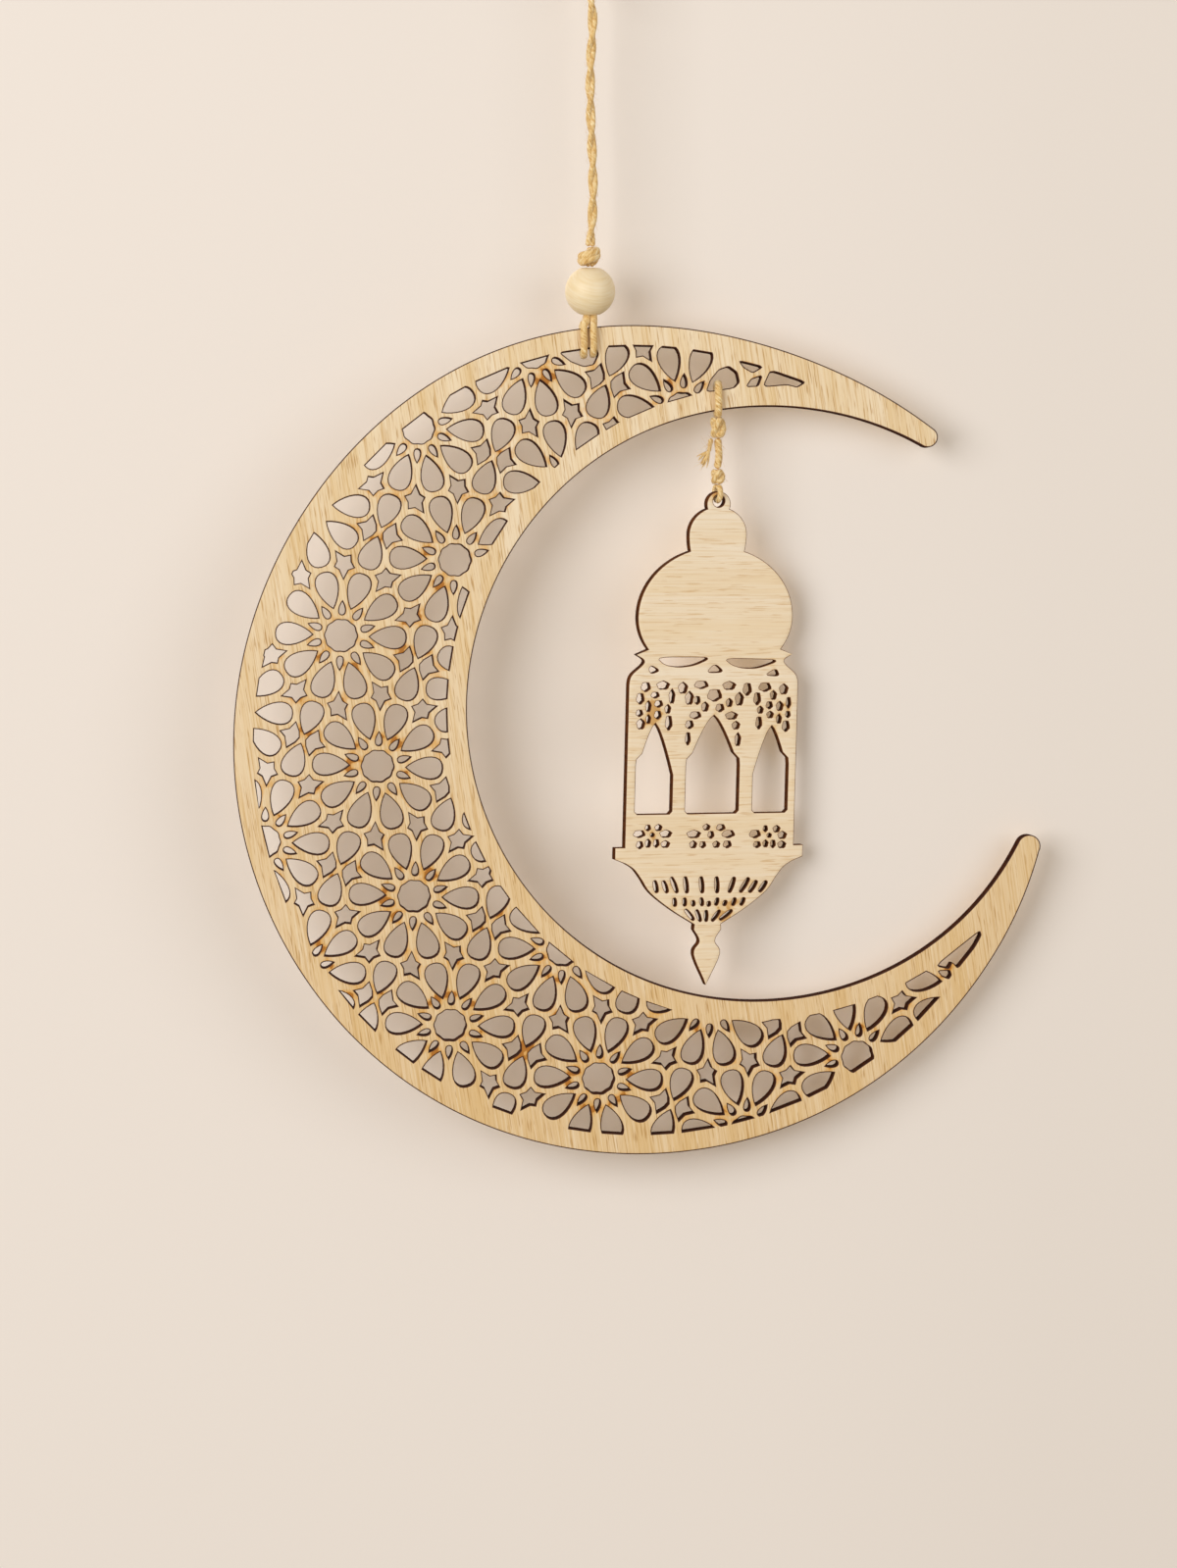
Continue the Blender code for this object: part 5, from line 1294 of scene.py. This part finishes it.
WRAP_RADIUS = PLY_THICKNESS / 2 + TOUCH_GAP + STRAND_DIAMETER / 2
WRAP_INNER = WRAP_RADIUS - STRAND_DIAMETER / 2
WRAP_RISE = math.sqrt(WRAP_INNER ** 2 - (PLY_THICKNESS / 2) ** 2)
INNER_EDGE = MOON_Z + edge_height(LANTERN_X, lambda point: -outside_inner(point, 0))
BAND_TOP = MOON_Z + edge_height(LANTERN_X, over_inner_rim)
THIN_WRAP = PLY_THICKNESS / 2 + TOUCH_GAP + THIN_CORD_DIAMETER / 2
THIN_INNER = THIN_WRAP - THIN_CORD_DIAMETER / 2
THIN_RISE = math.sqrt(THIN_INNER ** 2 - (PLY_THICKNESS / 2) ** 2)
BAND_WRAP_CENTRE = BAND_TOP + TOUCH_GAP - THIN_RISE
UPPER_KNOT_TOP = INNER_EDGE - RIM_LOOP_DROP
STRAND_TOP = UPPER_KNOT_TOP - UPPER_KNOT[1] - TOUCH_GAP
STRAND_FOOT = STRAND_TOP - STRAND_LENGTH
LOWER_KNOT_FOOT = STRAND_FOOT - TOUCH_GAP - LOWER_KNOT[1]
RING_TOP = LOWER_KNOT_FOOT - RING_LOOP_DROP
HOLE_Z = RING_TOP - RING_RADIUS + RING_DROP


def arc_down(centre_z, radius, count):
    """Half circle below its centre, from the front to the back, as (y, z) points."""
    turn = np.linspace(0, math.pi, count)
    return [*np.c_[-radius * np.cos(turn), centre_z - radius * np.sin(turn)]]


def bent(points, spacing, at=(0, 0, 0)):
    """Points at even spacing along a smooth curve through a route's own points, moved to at."""
    dense = curved(points, 12)
    lengths = np.r_[0, np.cumsum(np.linalg.norm(np.diff(dense, axis=0), axis=1))]
    marks = np.linspace(0, lengths[-1], max(2, round(lengths[-1] / spacing) + 1))
    return np.stack([np.interp(marks, lengths, axis) for axis in dense.T], axis=1) + np.array(at)


# Cords and knots, from the hook down

jute = spun_jute()
AXIS_X, AXIS_Y, AXIS_Z = (1, 0, 0), (0, 1, 0), (0, 0, 1)

# Top loop: one strand up, over the hook and down again
half_loop = TOP_LOOP_WIDTH / 2 - STRAND_DIAMETER / 2
leg = (STRAND_DIAMETER + STRAND_PAIR_GAP) / 2
loop_foot = TOP_KNOT_TOP + TOUCH_GAP
loop_side = [(-x, 0, loop_foot * share) for x, share in (
    (leg, 1), (1.6 * leg, 0.84), (0.8 * half_loop, 0.56), (half_loop, 0.3), (0.68 * half_loop, 0.08))]
loop_route = loop_side + [(0, 0, STRAND_DIAMETER / 2)] + [(-x, y, z) for x, y, z in loop_side[::-1]]
top_loop = add_cord("top_loop", "hook_loop", bent(loop_route, 0.35 * MM), AXIS_Y,
                    (1, 0, STRAND_DIAMETER / 2, YARN_LAY))

top_knot_at = (0, 0, TOP_KNOT_TOP - TOP_KNOT_LENGTH / 2)
top_knot = add_cord(
    "top_knot", "hanging_cord",
    *knot_track(top_knot_at, KNOT_DIAMETER / 2 - KNOT_STRAND, TOP_KNOT_LENGTH / 2 - KNOT_STRAND),
    (2, 0.45 * KNOT_STRAND, 0.68 * KNOT_STRAND, CORD_LAY))

# Hanging cord: two strands laid together
heights = np.linspace(CORD_TOP, CORD_FOOT, len(CORD_SWAY) + 2)
hanging_route = [(x, 0, z) for x, z in zip([0, *CORD_SWAY, 0], heights)]
hanging_cord = add_cord("hanging_cord", "hanging_cord", bent(hanging_route, 0.4 * MM), AXIS_Y,
                        (2, LAID_SPREAD, LAID_STRAND, CORD_LAY, 12), ending="_strands")

knot_half = BEAD_KNOT_LENGTH / 2
through = bent([(0, 0, BEAD_KNOT_CENTRE + rise) for rise in (-knot_half, 0, knot_half)], 0.41 * MM)
bead_knot = add_cord(
    "bead_knot", "hanging_cord",
    *wrapped_track((-0.4 * MM, 0, BEAD_KNOT_CENTRE), KNOT_DIAMETER / 2 - WRAP_STRAND,
                   BEAD_KNOT_LENGTH - 2 * WRAP_STRAND, 2.4, 0.22),
    (1, 0, WRAP_STRAND, YARN_LAY, 14), [rope(through, AXIS_Y, 2, LAID_SPREAD, LAID_STRAND, CORD_LAY)])

# Two loops from the knot through the bead and round the moon's rim
for name, side in (("rim_loop_left", -1), ("rim_loop_right", 1)):
    x_low = STRAND_SHIFT + side * STRAND_SPREAD / 2
    front = [(side * leg, -leg, BEAD_KNOT_CENTRE - knot_half - TOUCH_GAP),
             (side * leg, -leg, BEAD_CENTRE - BEAD_HALF), (x_low, -WRAP_RADIUS, RIM_TOP + TOUCH_GAP)]
    back = [(x, -y, z) for x, y, z in front[::-1]]
    arc = arc_down(slot_top(x_low - STRAND_DIAMETER / 2) - LOOP_CLEARANCE + WRAP_RISE, WRAP_RADIUS, 7)
    track = bent(front + [(x_low, y, z) for y, z in arc] + back, 0.35 * MM)
    add_cord(name, "rim_loops", track, AXIS_X,
                              (1, 0, 1.3 * STRAND_DIAMETER / 2, YARN_LAY))

# Lantern cord: over the inner rim, knotted, one strand with a frayed tail, knotted, through the ring
cord_x = HANG_TO_LANTERN
knot_leg = (THIN_CORD_DIAMETER + STRAND_PAIR_GAP) / 2
thin = THIN_CORD_DIAMETER / 2
shoulder = [(cord_x, -knot_leg, UPPER_KNOT_TOP + TOUCH_GAP),
            (cord_x, -knot_leg, UPPER_KNOT_TOP + RIM_LOOP_DROP * 0.3),
            (cord_x, -THIN_WRAP * 0.86, INNER_EDGE - RIM_LOOP_DROP * 0.25),
            (cord_x, -THIN_WRAP, INNER_EDGE + RIM_LOOP_DROP * 0.5)]
over = [(cord_x, y, 2 * BAND_WRAP_CENTRE - z) for y, z in arc_down(BAND_WRAP_CENTRE, THIN_WRAP, 7)]
track = bent(shoulder + over + [(x, -y, z) for x, y, z in shoulder[::-1]], 0.3 * MM)
add_cord("lantern_rim_loop", "lantern_cord", track, AXIS_X, (1, 0, 1.25 * thin, YARN_LAY))

knot_at = (cord_x, 0, UPPER_KNOT_TOP - UPPER_KNOT[1] / 2)
add_cord("lantern_upper_knot", "lantern_cord",
         *knot_track(knot_at, UPPER_KNOT[0] / 2 - 0.9 * MM, UPPER_KNOT[1] / 2 - 0.95 * MM),
         (1, 0, 1.25 * MM, YARN_LAY))

strand = [(cord_x, 0, STRAND_TOP), (cord_x + 0.4 * thin, 0, (STRAND_TOP + STRAND_FOOT) / 2),
          (cord_x, 0, STRAND_FOOT)]
add_cord("lantern_strand", "lantern_cord", bent(strand, 0.3 * MM), AXIS_Y, (1, 0, 1.2 * thin, YARN_LAY))

tail_top = np.array([cord_x - 2 * thin - STRAND_PAIR_GAP, -thin, STRAND_TOP])
tail_middle = tail_top + (-TAIL_SPREAD / 4, 0, -TAIL_LENGTH / 2)
tail_foot = tail_top + (-TAIL_SPREAD, -thin, -TAIL_LENGTH)
frays = []
for fray in np.array(FRAYED_YARNS) * MM:
    end = tail_foot + fray
    half_way = (tail_middle + end) / 2 + (fray[0] * 0.2, 0, 0)
    track = bent([tail_middle, half_way, end], 0.3 * MM)
    frays.append(rope(track, AXIS_Y, 1, 0, 0.5 * MM, YARN_LAY, 7, 0.7))
add_cord("lantern_tail", "lantern_cord", bent([tail_top, tail_middle, tail_foot], 0.3 * MM), AXIS_Y,
         (1, 0, 0.8 * thin, YARN_LAY, 9, 0.55), frays)

knot_at = (cord_x, 0, LOWER_KNOT_FOOT + LOWER_KNOT[1] / 2)
add_cord("lantern_lower_knot", "lantern_cord",
         *knot_track(knot_at, LOWER_KNOT[0] / 2 - 0.9 * MM, LOWER_KNOT[1] / 2 - 0.9 * MM),
         (1, 0, 1.15 * MM, YARN_LAY))

facing = Matrix.Rotation(LANTERN_YAW, 3, "Z")
ring_wrap = HOLE_Z + RING_HOLE_RADIUS - TOUCH_GAP + THIN_RISE
neck = [(0, -knot_leg, LOWER_KNOT_FOOT - TOUCH_GAP),
        (0, -knot_leg, LOWER_KNOT_FOOT - RING_LOOP_DROP * 0.3),
        (0, -THIN_WRAP * 0.86, RING_TOP + RING_LOOP_DROP * 0.25),
        (0, -THIN_WRAP, RING_TOP - RING_LOOP_DROP * 0.2)]
under = [(0, y, z) for y, z in arc_down(ring_wrap, THIN_WRAP, 7)]
ring_route = [facing @ Vector(point) for point in neck + under + [(0, -y, z) for _, y, z in neck[::-1]]]
add_cord("lantern_ring_loop", "lantern", bent(ring_route, 0.3 * MM, (cord_x, 0, 0)),
         facing @ Vector(AXIS_X), (1, 0, 0.95 * thin, YARN_LAY))

# Bead


def add_bead():
    """Profile turned about the cord, each of its points at its own reach times the cosine and sine of
    the turn: a ball, cut off a little before it meets a straight bore."""
    radius, bore = BEAD_DIAMETER / 2, BEAD_BORE / 2
    edge = math.asin(bore / radius) + 0.035
    ball = np.linspace(edge, math.pi - edge, 56)
    outside = np.c_[radius * np.sin(ball), -radius * np.cos(ball)]
    tube_side = np.c_[np.full(9, bore), np.linspace(BEAD_HALF - 0.45 * MM, 0.45 * MM - BEAD_HALF, 9)]
    profile = np.vstack([outside, tube_side])
    turn = np.arange(BEAD_SIDES) * 2 * math.pi / BEAD_SIDES
    points = np.stack([profile[:, :1] * np.cos(turn), profile[:, :1] * np.sin(turn),
                       np.broadcast_to(profile[:, 1:] + BEAD_CENTRE, (len(profile), BEAD_SIDES))], axis=-1)
    corner = np.arange(len(profile) * BEAD_SIDES).reshape(-1, BEAD_SIDES)
    below = np.roll(corner, -1, axis=0)
    quads = np.stack([corner, np.roll(corner, -1, axis=1), np.roll(below, -1, axis=1), below], axis=-1)
    made = add_piece("turned_wood_bead", points.reshape(-1, 3), [quads.reshape(-1, 4)], [turned_bead()],
                     "bead", ["wood_bead"])
    smoothed(made, 40)


add_bead()

# Panels

moon_wood = plywood_face("moon_basswood_ply", (0, -8.5 * DEG, 0), "#F4E2C2", "#E8CB98", "#DDB678",
                         "#D3AC70", "#B98C4C", "#DDA03A", "#A5600F", "#8A4403", "#361200")
moon_cut = charred_edge("moon_laser_cut_edge", 0, "#4E2000", "#301000", "#1E0900")
moon_lean = (BEAM_LEAN, (BEAM_MIDDLE[0] - MOON_X, BEAM_MIDDLE[1] - MOON_Z))
add_panel("crescent_panel", moon_outline(), moon_openings(), MOON_SINGE, moon_lean,
          Matrix.Translation((MOON_X, 0, MOON_Z)), [moon_wood, moon_cut], "moon")

lantern_place = (Matrix.Translation((cord_x, 0, HOLE_Z)) @ Matrix.Rotation(LANTERN_YAW, 4, "Z")
                 @ Matrix.Rotation(LANTERN_LEAN, 4, "Y"))
lantern_wood = plywood_face(
    "lantern_basswood_ply", (0, 90 * DEG + LANTERN_LEAN, LANTERN_YAW), "#FCEED6", "#F7E2BE", "#F4DAAF",
    "#EFD5AC", "#E2C090", "#EBC688", "#D3A05A", "#B07F45", "#6B3A14")
lantern_cut = charred_edge("lantern_laser_cut_edge", -LANTERN_YAW, "#6E3B14", "#43210A", "#2C1406")
add_panel("lantern_panel", lantern_outline(), lantern_openings(), LANTERN_SINGE, (0, (0, 0)),
          lantern_place, [lantern_wood, lantern_cut], "lantern")

bpy.context.scene.view_settings.view_transform = "Standard"
